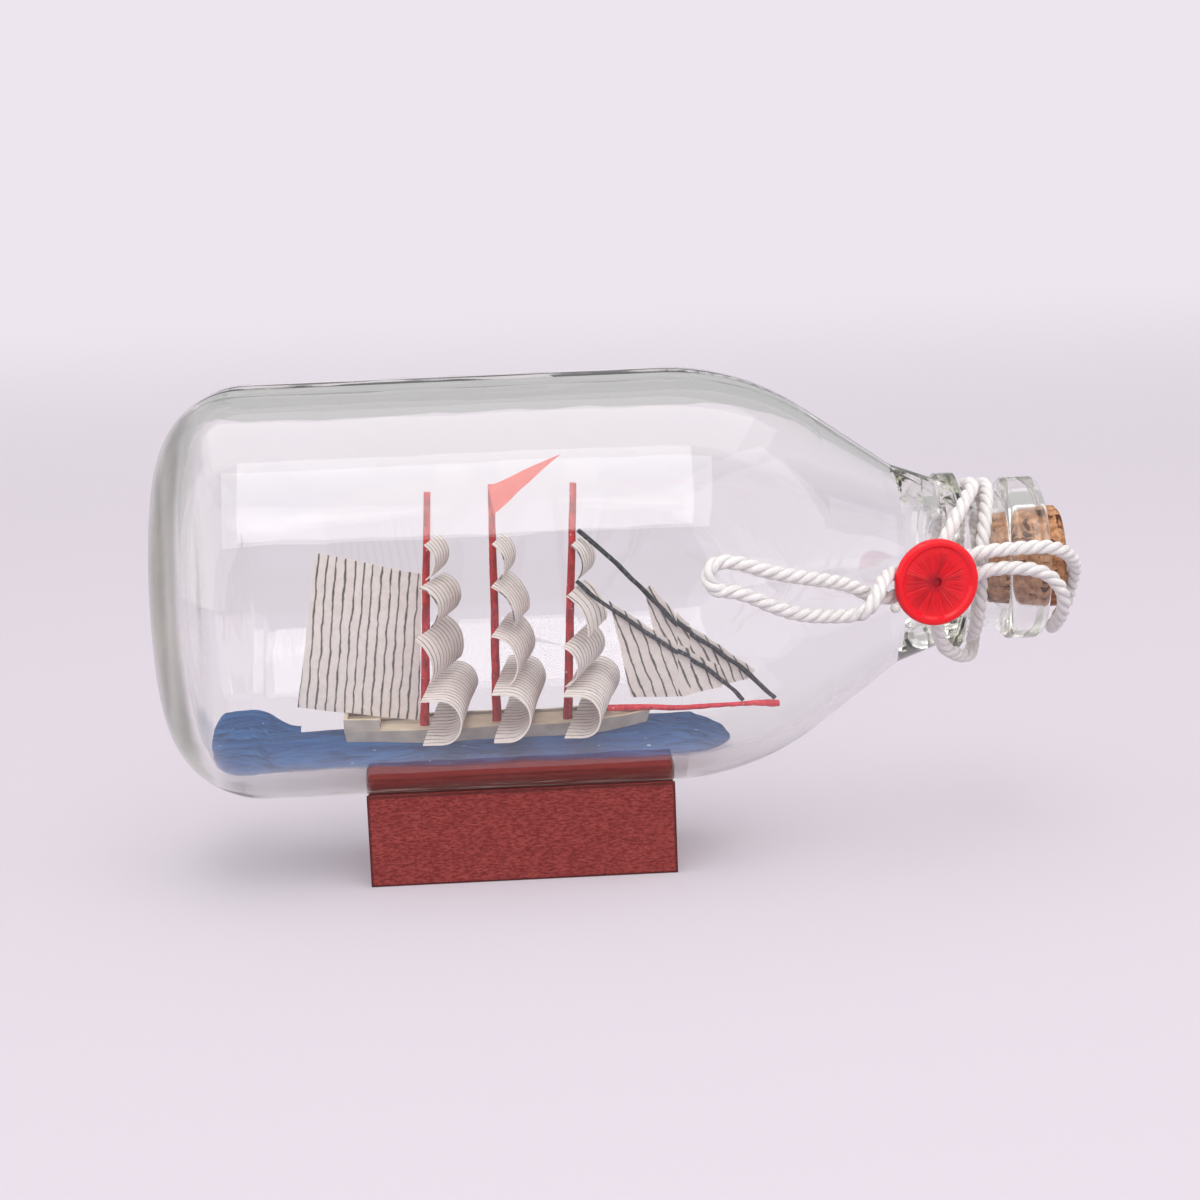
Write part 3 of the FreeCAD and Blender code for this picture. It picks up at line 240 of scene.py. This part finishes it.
LOOP_ROUTE = [
    (0.06186, -0.01921, 0.04661),
    (0.05974, -0.01966, 0.04569),
    (0.05592, -0.02243, 0.04649),
    (0.05221, -0.02502, 0.04920),
    (0.04752, -0.02816, 0.05080),
    (0.04201, -0.03093, 0.05230),
    (0.03761, -0.03238, 0.05370),
    (0.03500, -0.03290, 0.05480),
    (0.03280, -0.03326, 0.05540),
    (0.03041, -0.03369, 0.05530),
    (0.02920, -0.03425, 0.05330),
    (0.03041, -0.03441, 0.05120),
    (0.03280, -0.03403, 0.05100),
    (0.03559, -0.03348, 0.05010),
    (0.03952, -0.03234, 0.04780),
    (0.04399, -0.03035, 0.04590),
    (0.04880, -0.02742, 0.04490),
    (0.05269, -0.02598, 0.04455),
    (0.05442, -0.02744, 0.04540),
    (0.05622, -0.02622, 0.04780),
    (0.05732, -0.02357, 0.04930),
    (0.05949, -0.01972, 0.04997),
    (0.06170, -0.01925, 0.04932),
]
TIE_ROUTE = [
    (0.06891, -0.01596, 0.04963),
    (0.07107, -0.01550, 0.05045),
    (0.07397, -0.01513, 0.05150),
    (0.08090, -0.01443, 0.05171),
    (0.08647, -0.01443, 0.05171),
    (0.09089, -0.00868, 0.04791),
    (0.09089, -0.00354, 0.04277),
    (0.09089, -0.00080, 0.03968),
    (0.08904, 0.00000, 0.03594),
    (0.08770, -0.00365, 0.03607),
    (0.08770, -0.00795, 0.03783),
    (0.08815, -0.01156, 0.04063),
    (0.08759, -0.01408, 0.04456),
    (0.08381, -0.01516, 0.04849),
    (0.07446, -0.01551, 0.04893),
    (0.07120, -0.01578, 0.04616),
    (0.06902, -0.01624, 0.04691),
]
# The wrap round the neck: angle from the near side over the top in degrees, distance along, radius.
WRAP_STATIONS = np.array([
    (43.0, 71.844, 15.746),
    (61.0, 74.366, 15.141),
    (78.0, 74.668, 13.196),
    (94.0, 74.668, 12.3),
    (360.0, 74.668, 12.3),
    (450.0, 77.518, 12.3),
    (556.0, 77.518, 12.3),
    (604.0, 76.723, 15.19),
    (630.0, 75.273, 15.746),
    (652.0, 72.068, 15.746),
    (670.0, 68.561, 15.746),
])
WRAP_START = [(0.06717, -0.01545, 0.05162), (0.06842, -0.01519, 0.05359)]
WRAP_FINISH = [(0.06672, -0.01601, 0.04199), (0.06612, -0.01613, 0.04426)]


def wrap_line():
    """The wrap's control points: between stations the place changes by 3t^2 - 2t^3."""
    up_to_neck = [43.0, 52.0, 61.0, 70.0, 80.0]
    round_neck = np.arange(94.0, 556.0, 14.0)
    off_neck = np.linspace(556.0, 670.0, 11)
    angles = np.concatenate([up_to_neck, round_neck, off_neck])
    index = np.clip(np.searchsorted(WRAP_STATIONS[:, 0], angles, "right") - 1, 0, len(WRAP_STATIONS) - 2)
    before, after = WRAP_STATIONS[index], WRAP_STATIONS[index + 1]
    share = (angles - before[:, 0]) / (after[:, 0] - before[:, 0])
    share = (share * share * (3 - 2 * share))[:, None]
    across, radius = ((before + (after - before) * share)[:, 1:] * MM).T
    turn = np.radians(angles)
    line = np.stack([across, -radius * np.cos(turn), AXIS + radius * np.sin(turn)], -1)
    return spline_line("neck_wrap_line", np.concatenate([WRAP_START, line, WRAP_FINISH]), 8)


loop_line = spline_line("hanging_loop_line", LOOP_ROUTE)
tie_line = spline_line("cork_tie_line", TIE_ROUTE)
hanging_loop = laid_cord("cotton_hanging_loop", loop_line, flask_axis)
cork_tie = laid_cord("cotton_cork_tie", tie_line, lip_heart)
neck_wrap = laid_cord("cotton_neck_wrap", wrap_line(), flask_axis)
for piece, node in ((hanging_loop, "hanging_loop"), (cork_tie, "cork_tie"), (neck_wrap, "neck_wrap")):
    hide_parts(node)
    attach(piece, "bottle")


# ----------------------------------------------------------------------------------- materials


class Look:
    """One procedural material with short ways to add and join its nodes."""

    def __init__(self, name, **settings):
        self.material = bpy.data.materials.new(name)
        self.material.use_nodes = True
        self.tree = self.material.node_tree
        self.surface = self.tree.nodes["Principled BSDF"]
        self.output = self.tree.nodes["Material Output"]
        self.set(self.surface, settings)

    def set(self, node, inputs):
        for key, value in inputs.items():
            socket = node.inputs[key] if isinstance(key, int) else node.inputs[key.replace("_", " ")]
            if isinstance(value, bpy.types.NodeSocket):
                self.tree.links.new(value, socket)
            elif isinstance(value, tuple) and socket.type == "RGBA":
                socket.default_value = (*value, 1.0)
            else:
                socket.default_value = value
        return node

    def add(self, kind, inputs=None, **settings):
        node = self.tree.nodes.new(kind)
        for key, value in settings.items():
            setattr(node, key, value)
        return self.set(node, inputs or {})

    def place(self):
        return self.add("ShaderNodeTexCoord").outputs["Object"]

    def part(self, vector, axis):
        return self.add("ShaderNodeSeparateXYZ", {0: vector}).outputs[axis]

    def maths(self, operation, *values):
        return self.add("ShaderNodeMath", dict(enumerate(values)), operation=operation).outputs[0]

    def joined(self, operation, first, second=(0.0, 0.0, 0.0)):
        return self.add("ShaderNodeVectorMath", {0: first, 1: second}, operation=operation).outputs[0]

    def dot(self, vector, direction):
        node = self.add("ShaderNodeVectorMath", {0: vector, 1: direction}, operation="DOT_PRODUCT")
        return node.outputs["Value"]

    def stretched(self, vector, scale):
        return self.joined("MULTIPLY", vector, scale)

    def noise(self, vector, scale, detail=2.0, roughness=0.5, distortion=0.0):
        inputs = {"Vector": vector, "Scale": scale, "Detail": detail}
        inputs.update(Roughness=roughness, Distortion=distortion)
        return self.add("ShaderNodeTexNoise", inputs).outputs["Fac"]

    def remap(self, value, low, high, to_low=0.0, to_high=1.0):
        inputs = {"Value": value, "From_Min": low, "From_Max": high, "To_Min": to_low, "To_Max": to_high}
        return self.add("ShaderNodeMapRange", inputs, interpolation_type="SMOOTHSTEP").outputs[0]

    def mix(self, share, first, second):
        node = self.add("ShaderNodeMix", data_type="RGBA")
        self.set(node, {0: share, 6: first, 7: second})
        return node.outputs[2]

    def bump(self, height, distance, strength):
        node = self.add("ShaderNodeBump", {"Height": height, "Distance": distance, "Strength": strength})
        self.tree.links.new(node.outputs[0], self.surface.inputs["Normal"])

    def colour(self, value):
        self.set(self.surface, {"Base_Color": value})

    def wear(self, *pieces):
        for piece in pieces:
            piece.data.materials.clear()
            piece.data.materials.append(self.material)


def shade(red, green, blue):
    """A colour given as it looks on screen, 0 to 255, turned to linear light."""
    parts = np.array([red, green, blue]) / 255.0
    linear = np.where(parts <= 0.04045, parts / 12.92, ((parts + 0.055) / 1.055) ** 2.4)
    return tuple(float(part) for part in linear)


def flask_glass():
    """Clear glass with a faint olive cast, duller at the heel and in the neck.

    Light for the things inside passes straight through it, weakened a little, instead of being bent.
    """
    look = Look("flask_glass", Base_Color=(0.99, 0.99, 0.99), IOR=1.5, Transmission_Weight=1.0)
    spot = look.place()
    along = look.part(spot, 0)
    heel = look.remap(along, -51.5 * MM, -48.0 * MM, 0.20, 0.0)
    neck = look.remap(along, 64.0 * MM, 69.0 * MM, 0.0, 0.06)
    look.set(look.surface, {"Roughness": look.maths("MAXIMUM", heel, neck)})
    past_heel = look.remap(along, -50.0 * MM, -40.0 * MM)
    short_of_neck = look.remap(along, 40.0 * MM, 56.0 * MM, 1.0, 0.0)
    body = look.maths("MULTIPLY", past_heel, short_of_neck)
    wobble = look.noise(look.stretched(spot, (1.0, 2.0, 2.0)), 42.0, 2.0)
    look.bump(look.maths("MULTIPLY", wobble, body), 0.4 * MM, 0.3)
    tint = look.add("ShaderNodeVolumeAbsorption", {"Color": (0.84, 0.85, 0.70), "Density": 13.0})
    look.tree.links.new(tint.outputs[0], look.output.inputs["Volume"])
    rays = look.add("ShaderNodeLightPath")
    through = look.add("ShaderNodeBsdfTransparent", {"Color": (0.95, 0.95, 0.95)})
    lighting = look.maths("MAXIMUM", rays.outputs["Is Shadow Ray"], rays.outputs["Is Diffuse Ray"])
    mixed = look.add("ShaderNodeMixShader", {0: lighting, 1: look.surface.outputs[0], 2: through.outputs[0]})
    look.tree.links.new(mixed.outputs[0], look.output.inputs["Surface"])
    return look


SAIL_PAPER = (234, 223, 219)
SAIL_INK = (58, 54, 56)


def ruled_paper(name, direction, spacing, line, start):
    """Paper with hand-drawn lines where direction . P + start is a whole number of spacings; sizes in mm."""
    spacing, line, start = spacing * MM, line * MM, start * MM
    look = Look(name, Roughness=0.85)
    spot = look.place()
    drift = look.maths("SUBTRACT", look.noise(spot, 260.0, 1.0), 0.5)
    ragged = look.maths("SUBTRACT", look.noise(spot, 1400.0, 1.0), 0.5)
    across = look.maths("ADD", look.dot(spot, direction), start)
    across = look.maths("MULTIPLY_ADD", drift, 0.5 * spacing, across)
    across = look.maths("MULTIPLY_ADD", ragged, 0.14 * spacing, across)
    away = look.maths("PINGPONG", across, spacing * 0.5)
    half = look.maths("MULTIPLY_ADD", look.noise(spot, 420.0, 1.0), line * 0.7, line * 0.15)
    edge = look.maths("SUBTRACT", away, half)
    dark = look.remap(edge, -0.10 * MM, 0.06 * MM, 0.92, 0.0)
    mottle = look.remap(look.noise(spot, 900.0, 2.0), 0.3, 0.7)
    ground = look.mix(mottle, shade(*(channel - 9 for channel in SAIL_PAPER)), shade(*SAIL_PAPER))
    look.colour(look.mix(dark, ground, shade(*SAIL_INK)))
    look.bump(look.noise(spot, 1500.0, 2.0), 0.04 * MM, 0.5)
    return look


def stained_wood(low, high):
    """Red stained board between the corners low and high: short fibres, fine specks and painted shade along
    the arrises.
    """
    look = Look("stand_red_board", Roughness=0.75, Specular_IOR_Level=0.25)
    spot = look.place()
    fibre = look.noise(look.stretched(spot, (0.3, 1.0, 1.0)), 3400.0, 3.0, 0.7)
    cloud = look.noise(look.stretched(spot, (0.5, 1.0, 1.0)), 420.0, 3.0)
    base = look.mix(look.remap(fibre, 0.34, 0.66), shade(112, 38, 38), shade(158, 70, 66))
    base = look.mix(look.remap(cloud, 0.35, 0.7, 0.0, 0.25), base, shade(118, 40, 42))
    speck = look.noise(look.stretched(spot, (0.6, 1.0, 1.0)), 5200.0, 1.0)
    base = look.mix(look.remap(speck, 0.66, 0.78, 0.0, 0.55), base, shade(178, 96, 90))
    # Painted shade: the board is darkened near its edges, standing in for the shade on the arrises and side
    # faces.
    past_low = look.joined("SUBTRACT", spot, tuple(low))
    short_of_high = look.joined("SUBTRACT", tuple(high), spot)
    inset = look.joined("MINIMUM", past_low, short_of_high)
    x, y, z = (look.part(inset, axis) for axis in range(3))
    upright = look.maths("MINIMUM", x, y)
    level = look.maths("MINIMUM", look.maths("MAXIMUM", x, y), z)
    arris = look.maths("MAXIMUM", upright, level)
    look.colour(look.mix(look.remap(arris, 0.1 * MM, 0.6 * MM, 0.8, 0.0), base, shade(58, 20, 22)))
    look.bump(fibre, 0.10 * MM, 0.5)
    return look


def bottle_cork():
    """Cork: warm grain with darker pores and pits."""
    look = Look("bottle_cork", Roughness=0.9, Specular_IOR_Level=0.2)
    spot = look.place()
    grain = look.noise(spot, 800.0, 5.0, 0.7)
    pores = look.remap(look.noise(look.stretched(spot, (1.0, 0.6, 1.5)), 560.0, 3.0, 0.65, 0.4), 0.56, 0.64)
    flakes = look.remap(look.noise(spot, 1900.0, 2.0, 0.6), 0.4, 0.62)
    base = look.mix(look.remap(grain, 0.34, 0.66), shade(134, 88, 60), shade(204, 156, 118))
    base = look.mix(look.maths("MULTIPLY", flakes, 0.35), base, shade(176, 118, 80))
    look.colour(look.mix(pores, base, shade(84, 46, 28)))
    look.bump(look.maths("SUBTRACT", grain, pores), 0.3 * MM, 0.9)
    return look


def sea_blue():
    """Blue putty combed into streaks along the ship, with a few white flecks."""
    look = Look("sea_blue", Roughness=0.7, Specular_IOR_Level=0.08)
    spot = look.place()
    streak = look.noise(look.stretched(spot, (0.22, 1.0, 1.3)), 620.0, 4.0, 0.65, 0.8)
    broad = look.noise(look.stretched(spot, (0.3, 1.0, 1.0)), 150.0, 2.0)
    base = look.mix(look.remap(streak, 0.32, 0.68), shade(16, 48, 92), shade(56, 104, 158))
    base = look.mix(look.remap(broad, 0.4, 0.65, 0.0, 0.5), base, shade(38, 84, 142))
    fleck = look.noise(look.stretched(spot, (0.5, 1.0, 1.0)), 1300.0, 2.0, 0.7)
    look.colour(look.mix(look.remap(fleck, 0.70, 0.76, 0.0, 0.8), base, shade(190, 204, 222)))
    look.bump(streak, 0.7 * MM, 0.8)
    return look


def hull_paint():
    """Cream on the faces that look up, grey-buff on the sides; the lighter top and darker sides are painted
    light and shade.
    """
    look = Look("hull_paint", Roughness=0.7, Specular_IOR_Level=0.3)
    spot = look.place()
    facing = look.part(look.add("ShaderNodeNewGeometry").outputs["Normal"], 2)
    mottle = look.remap(look.noise(spot, 300.0, 3.0), 0.3, 0.7)
    # Painted light and shade: upward faces get the lighter cream, the sides the darker grey-buff.
    side = look.mix(mottle, shade(160, 150, 144), shade(184, 174, 166))
    top = look.mix(mottle, shade(206, 188, 164), shade(226, 210, 188))
    look.colour(look.mix(look.remap(facing, 0.5, 0.8), side, top))
    return look


def red_paint(name, dark, pale):
    """Thick brushed red paint on a thin stick."""
    look = Look(name, Roughness=0.45, Specular_IOR_Level=0.3)
    spot = look.place()
    brush = look.noise(look.stretched(spot, (1.0, 1.0, 0.35)), 1300.0, 3.0, 0.6)
    base = look.mix(look.remap(brush, 0.35, 0.65), shade(*dark), shade(*pale))
    chip = look.remap(look.noise(spot, 1500.0, 1.0), 0.72, 0.76)
    look.colour(look.mix(chip, base, shade(236, 214, 208)))
    look.bump(brush, 0.18 * MM, 0.7)
    return look


def twisted_thread(name, direction, dark, pale):
    """Thread with slanting twist marks along direction."""
    look = Look(name, Roughness=0.6)
    spot = look.place()
    along = look.maths("MULTIPLY_ADD", look.dot(spot, (0.0, 1.0, 0.0)), 1.2, look.dot(spot, direction))
    twist = look.maths("PINGPONG", along, 0.55 * MM)
    mark = look.remap(twist, 0.1 * MM, 0.5 * MM)
    speck = look.remap(look.noise(spot, 1800.0, 2.0), 0.45, 0.75)
    look.colour(look.mix(look.maths("MULTIPLY", mark, speck), shade(*dark), shade(*pale)))
    look.bump(mark, 0.15 * MM, 0.8)
    return look


def cotton():
    """White cotton plies: fine fibres follow the ply, and its side towards the cord's middle is painted
    darker as painted shade in the crease between plies.
    """
    look = Look("cotton_cord", Roughness=0.95, Sheen_Weight=0.2)
    place = look.add("ShaderNodeUVMap", uv_map="along_and_round").outputs[0]
    fibre = look.noise(look.stretched(place, (900.0, 14.0, 1.0)), 1.0, 3.0, 0.6, 0.8)
    # Painted shade: each ply is darker on its side towards the cord's middle, where the plies touch.
    inward = look.maths("PINGPONG", look.part(place, 1), 0.5)
    painted_groove_shade = look.remap(inward, 0.12, 0.34, 0.0, 0.6)
    base = look.mix(look.remap(fibre, 0.3, 0.7), shade(214, 209, 208), shade(236, 232, 230))
    look.colour(look.mix(painted_groove_shade, base, shade(176, 168, 168)))
    look.bump(fibre, 0.12 * MM, 0.6)
    return look


def knot_cotton():
    """Wound cotton, soaked in wax."""
    look = Look("knot_cotton", Roughness=0.8)
    spot = look.place()
    inputs = {"Vector": spot, "Scale": 240.0, "Distortion": 4.0, "Detail": 2.0}
    winding = look.add("ShaderNodeTexWave", inputs).outputs["Fac"]
    look.colour(look.mix(winding, shade(206, 200, 199), shade(236, 232, 230)))
    look.bump(winding, 0.3 * MM, 0.8)
    return look


def seal_wax(centre, turn):
    """Red sealing wax on a disc turned about +Z: uneven petals, a dark middle and a plain glossy rim painted
    lighter red as a painted highlight.
    """
    look = Look("seal_wax", Roughness=0.1, Specular_IOR_Level=0.3)
    spot = look.joined("SUBTRACT", look.place(), centre)
    flat = look.stretched(spot, (1.0 / math.cos(turn), 0.0, 1.0))
    length = look.add("ShaderNodeVectorMath", {0: flat}, operation="LENGTH").outputs["Value"]
    heading = look.joined("NORMALIZE", flat)
    waver = look.maths("SUBTRACT", look.noise(flat, 700.0, 2.0), 0.5)
    ragged = look.maths("MULTIPLY_ADD", waver, 1.6 * MM, length)
    petals = look.remap(look.noise(heading, 2.6, 2.0, 0.6), 0.44, 0.56)
    fine = look.remap(look.noise(heading, 9.0, 2.0, 0.6), 0.42, 0.6)
    inside = look.remap(ragged, 4.4 * MM, 5.6 * MM, 1.0, 0.0)
    middle = look.remap(ragged, 0.6 * MM, 2.2 * MM)
    both = look.maths("MULTIPLY_ADD", fine, 0.45, look.maths("MULTIPLY", petals, 0.55))
    depth = look.maths("MULTIPLY", both, inside)
    colour = look.mix(depth, shade(226, 12, 28), shade(184, 6, 22))
    # Painted highlight: the wax is painted a lighter red towards the rim, all round.
    rim = look.maths("MULTIPLY", look.remap(ragged, 3.2 * MM, 5.2 * MM), 0.5)
    colour = look.mix(rim, colour, shade(240, 32, 44))
    look.colour(look.mix(middle, shade(166, 8, 28), colour))
    look.bump(look.maths("MULTIPLY", depth, middle), 0.3 * MM, 0.5)
    return look


def painted_paper(name, tone):
    """Thin paper, painted unevenly in one tone."""
    look = Look(name, Roughness=0.7)
    mottle = look.remap(look.noise(look.place(), 700.0, 2.0), 0.3, 0.7)
    look.colour(look.mix(mottle, shade(*(channel - 14 for channel in tone)), shade(*tone)))
    return look


def dry_glue():
    """Milky dried glue that lets some light through."""
    look = Look("dried_glue", Roughness=0.25, Transmission_Weight=0.35, IOR=1.45)
    look.colour(look.mix(look.noise(look.place(), 900.0), shade(232, 226, 222), shade(250, 246, 240)))
    return look


# ------------------------------------------------------------------------------ looks of the CAD

SEAL_CENTRE = (0.0659, -0.0202, 0.0482)
SEAL_TURN = math.radians(12.0)

flask_glass().wear(CAD["bottle"])
bottle_cork().wear(CAD["cork"])
stained_wood(*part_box("stand")).wear(CAD["stand"])
sea_blue().wear(CAD["sea"])
hull_paint().wear(CAD["hull"])
mast_red = red_paint("mast_red", (150, 14, 24), (206, 40, 46))
mast_red.wear(*(CAD[f"{mast}_mast"] for mast in MASTS))
red_paint("bowsprit_red", (196, 26, 44), (232, 62, 76)).wear(CAD["bowsprit"])
painted_paper("pennant_paper", (232, 104, 94)).wear(CAD["pennant"])
outer_thread = twisted_thread("outer_stay_thread", (0.72, 0.0, -0.69), (26, 28, 36), (96, 100, 112))
outer_thread.wear(CAD["outer_stay"])
inner_thread = twisted_thread("inner_stay_thread", (0.84, 0.0, -0.54), (30, 32, 40), (104, 108, 120))
inner_thread.wear(CAD["inner_stay"])
cotton().wear(hanging_loop, cork_tie, neck_wrap)
knot_cotton().wear(CAD["knot"])
seal_wax(SEAL_CENTRE, SEAL_TURN).wear(CAD["seal"])
dry_glue().wear(CAD["glue"])

# How far each square sail is braced round its mast, in degrees, from the course up.
BRACES = {
    "mizzen": (5.7, 16.3, 15.8, 13.5),
    "main": (6.7, 10.0, 11.4, 11.0),
    "fore": (9.8, 17.0, 15.0, 14.6),
}
# Lines ruled on the sails: spacing, width and start in mm.
SQUARE_LINES = (1.6, 0.27, 0.6)
WIDE_SQUARE_LINES = (2.7, 0.38, 0.6)
for mast, braces in BRACES.items():
    for tier, brace in zip(PAPER_SAILS, braces):
        turn = math.radians(brace)
        lines = WIDE_SQUARE_LINES if (mast, tier) == ("fore", "topgallant") else SQUARE_LINES
        paper = ruled_paper(f"{mast}_{tier}_ruled_paper", (math.sin(turn), math.cos(turn), 0.0), *lines)
        paper.wear(CAD[f"{mast}_{tier}"])

# The sails along the ship: which way the lines follow each other, then the same three sizes.
LONG_SAILS = {
    "spanker": ((1.0, 0.0, -0.13), 1.5, 0.32, 0.3),
    "inner_jib": ((1.0, 0.0, 0.32), 1.76, 0.34, 0.4),
    "outer_jib": ((1.0, 0.0, 0.42), 1.44, 0.32, 0.4),
}
for sail, (direction, *lines) in LONG_SAILS.items():
    ruled_paper(f"{sail}_ruled_paper", direction, *lines).wear(CAD[sail])


# --------------------------------------------------------------------------- studio: floor, lamps

GLOW_START = 0.25  # distances behind the flask
GLOW_FULL = 0.95
FLOOR_GLOW = 0.22


def make_sweep():
    """Floor and backdrop in one: flat to y = bend, a quarter round, then upright; the same all along x."""
    near_edge, near_row, bend, radius, top, half_width = -2.4, -2.0, 1.6, 0.18, 0.30, 3.2
    flat = np.concatenate([[near_edge], np.linspace(near_row, bend, 12)])
    turn = np.linspace(0.0, np.pi / 2, 25)[1:]
    along = np.concatenate([flat, bend + radius * np.sin(turn), [bend + radius]])
    up = np.concatenate([np.zeros(len(flat)), radius * (1 - np.cos(turn)), [top]])
    across = np.linspace(-half_width, half_width, 9)
    points = np.stack(np.broadcast_arrays(across[None, :], along[:, None], up[:, None]), -1)
    quads = grid_faces(len(along), len(across), False)[:, ::-1]
    return make_mesh("studio_sweep", points.reshape(-1, 3), quads)


def soft_box(name, place, target, width, height, radiance):
    """A rectangular lamp that faces target; radiance 1 would look white."""
    data = bpy.data.lights.new(name, "AREA")
    data.shape = "RECTANGLE"
    data.size, data.size_y = width, height
    data.energy = radiance * math.pi * width * height
    lamp = bpy.data.objects.new(name, data)
    bpy.context.scene.collection.objects.link(lamp)
    lamp.rotation_mode = "QUATERNION"
    lamp.location = place
    lamp.rotation_quaternion = (Vector(place) - Vector(target)).to_track_quat("Z", "Y")


def studio_paper():
    """Pale paper whose glow grows towards the far end; the glow is seen but lights no other thing."""
    look = Look("studio_paper", Base_Color=shade(184, 176, 185), Roughness=0.9, Specular_IOR_Level=0.2)
    away = look.part(look.place(), 1)
    rays = look.add("ShaderNodeLightPath").outputs
    mirrored = look.maths("MAXIMUM", rays["Is Glossy Ray"], rays["Is Transmission Ray"])
    seen = look.maths("MAXIMUM", rays["Is Camera Ray"], mirrored)
    share = look.maths("MULTIPLY", look.remap(away, GLOW_START, GLOW_FULL), seen)
    strength = look.maths("MULTIPLY", look.remap(away, GLOW_START, GLOW_FULL, FLOOR_GLOW, 1.0), seen)
    glow = look.add("ShaderNodeEmission", {"Color": shade(237, 230, 238), "Strength": strength})
    dark = look.add("ShaderNodeBsdfTransparent", {"Color": (0.0, 0.0, 0.0)})
    lit = look.add("ShaderNodeMixShader", {0: share, 1: look.surface.outputs[0], 2: dark.outputs[0]})
    mixed = look.add("ShaderNodeAddShader", {0: lit.outputs[0], 1: glow.outputs[0]})
    look.tree.links.new(mixed.outputs[0], look.output.inputs["Surface"])
    return look


sweep = make_sweep()
studio_paper().wear(sweep)
soft_box("key_soft_box", (0.04, -0.42, 0.80), (0.04, 0.0, 0.06), width=0.36, height=0.75, radiance=2.8)
soft_box("left_fill", (-1.3, -1.0, 1.1), (0.0, 0.0, 0.05), width=2.4, height=2.4, radiance=1.1)
soft_box("right_fill", (1.3, -1.0, 1.1), (0.0, 0.0, 0.05), width=2.4, height=2.4, radiance=1.1)
soft_box("top_fill", (0.0, 0.5, 1.9), (0.0, 0.1, 0.0), width=2.2, height=1.4, radiance=0.8)

world = bpy.data.worlds.new("studio_air")
bpy.context.scene.world = world
world.use_nodes = True
air = world.node_tree.nodes["Background"]
air.inputs["Color"].default_value = (*shade(194, 193, 194), 1.0)
air.inputs["Strength"].default_value = 1.0
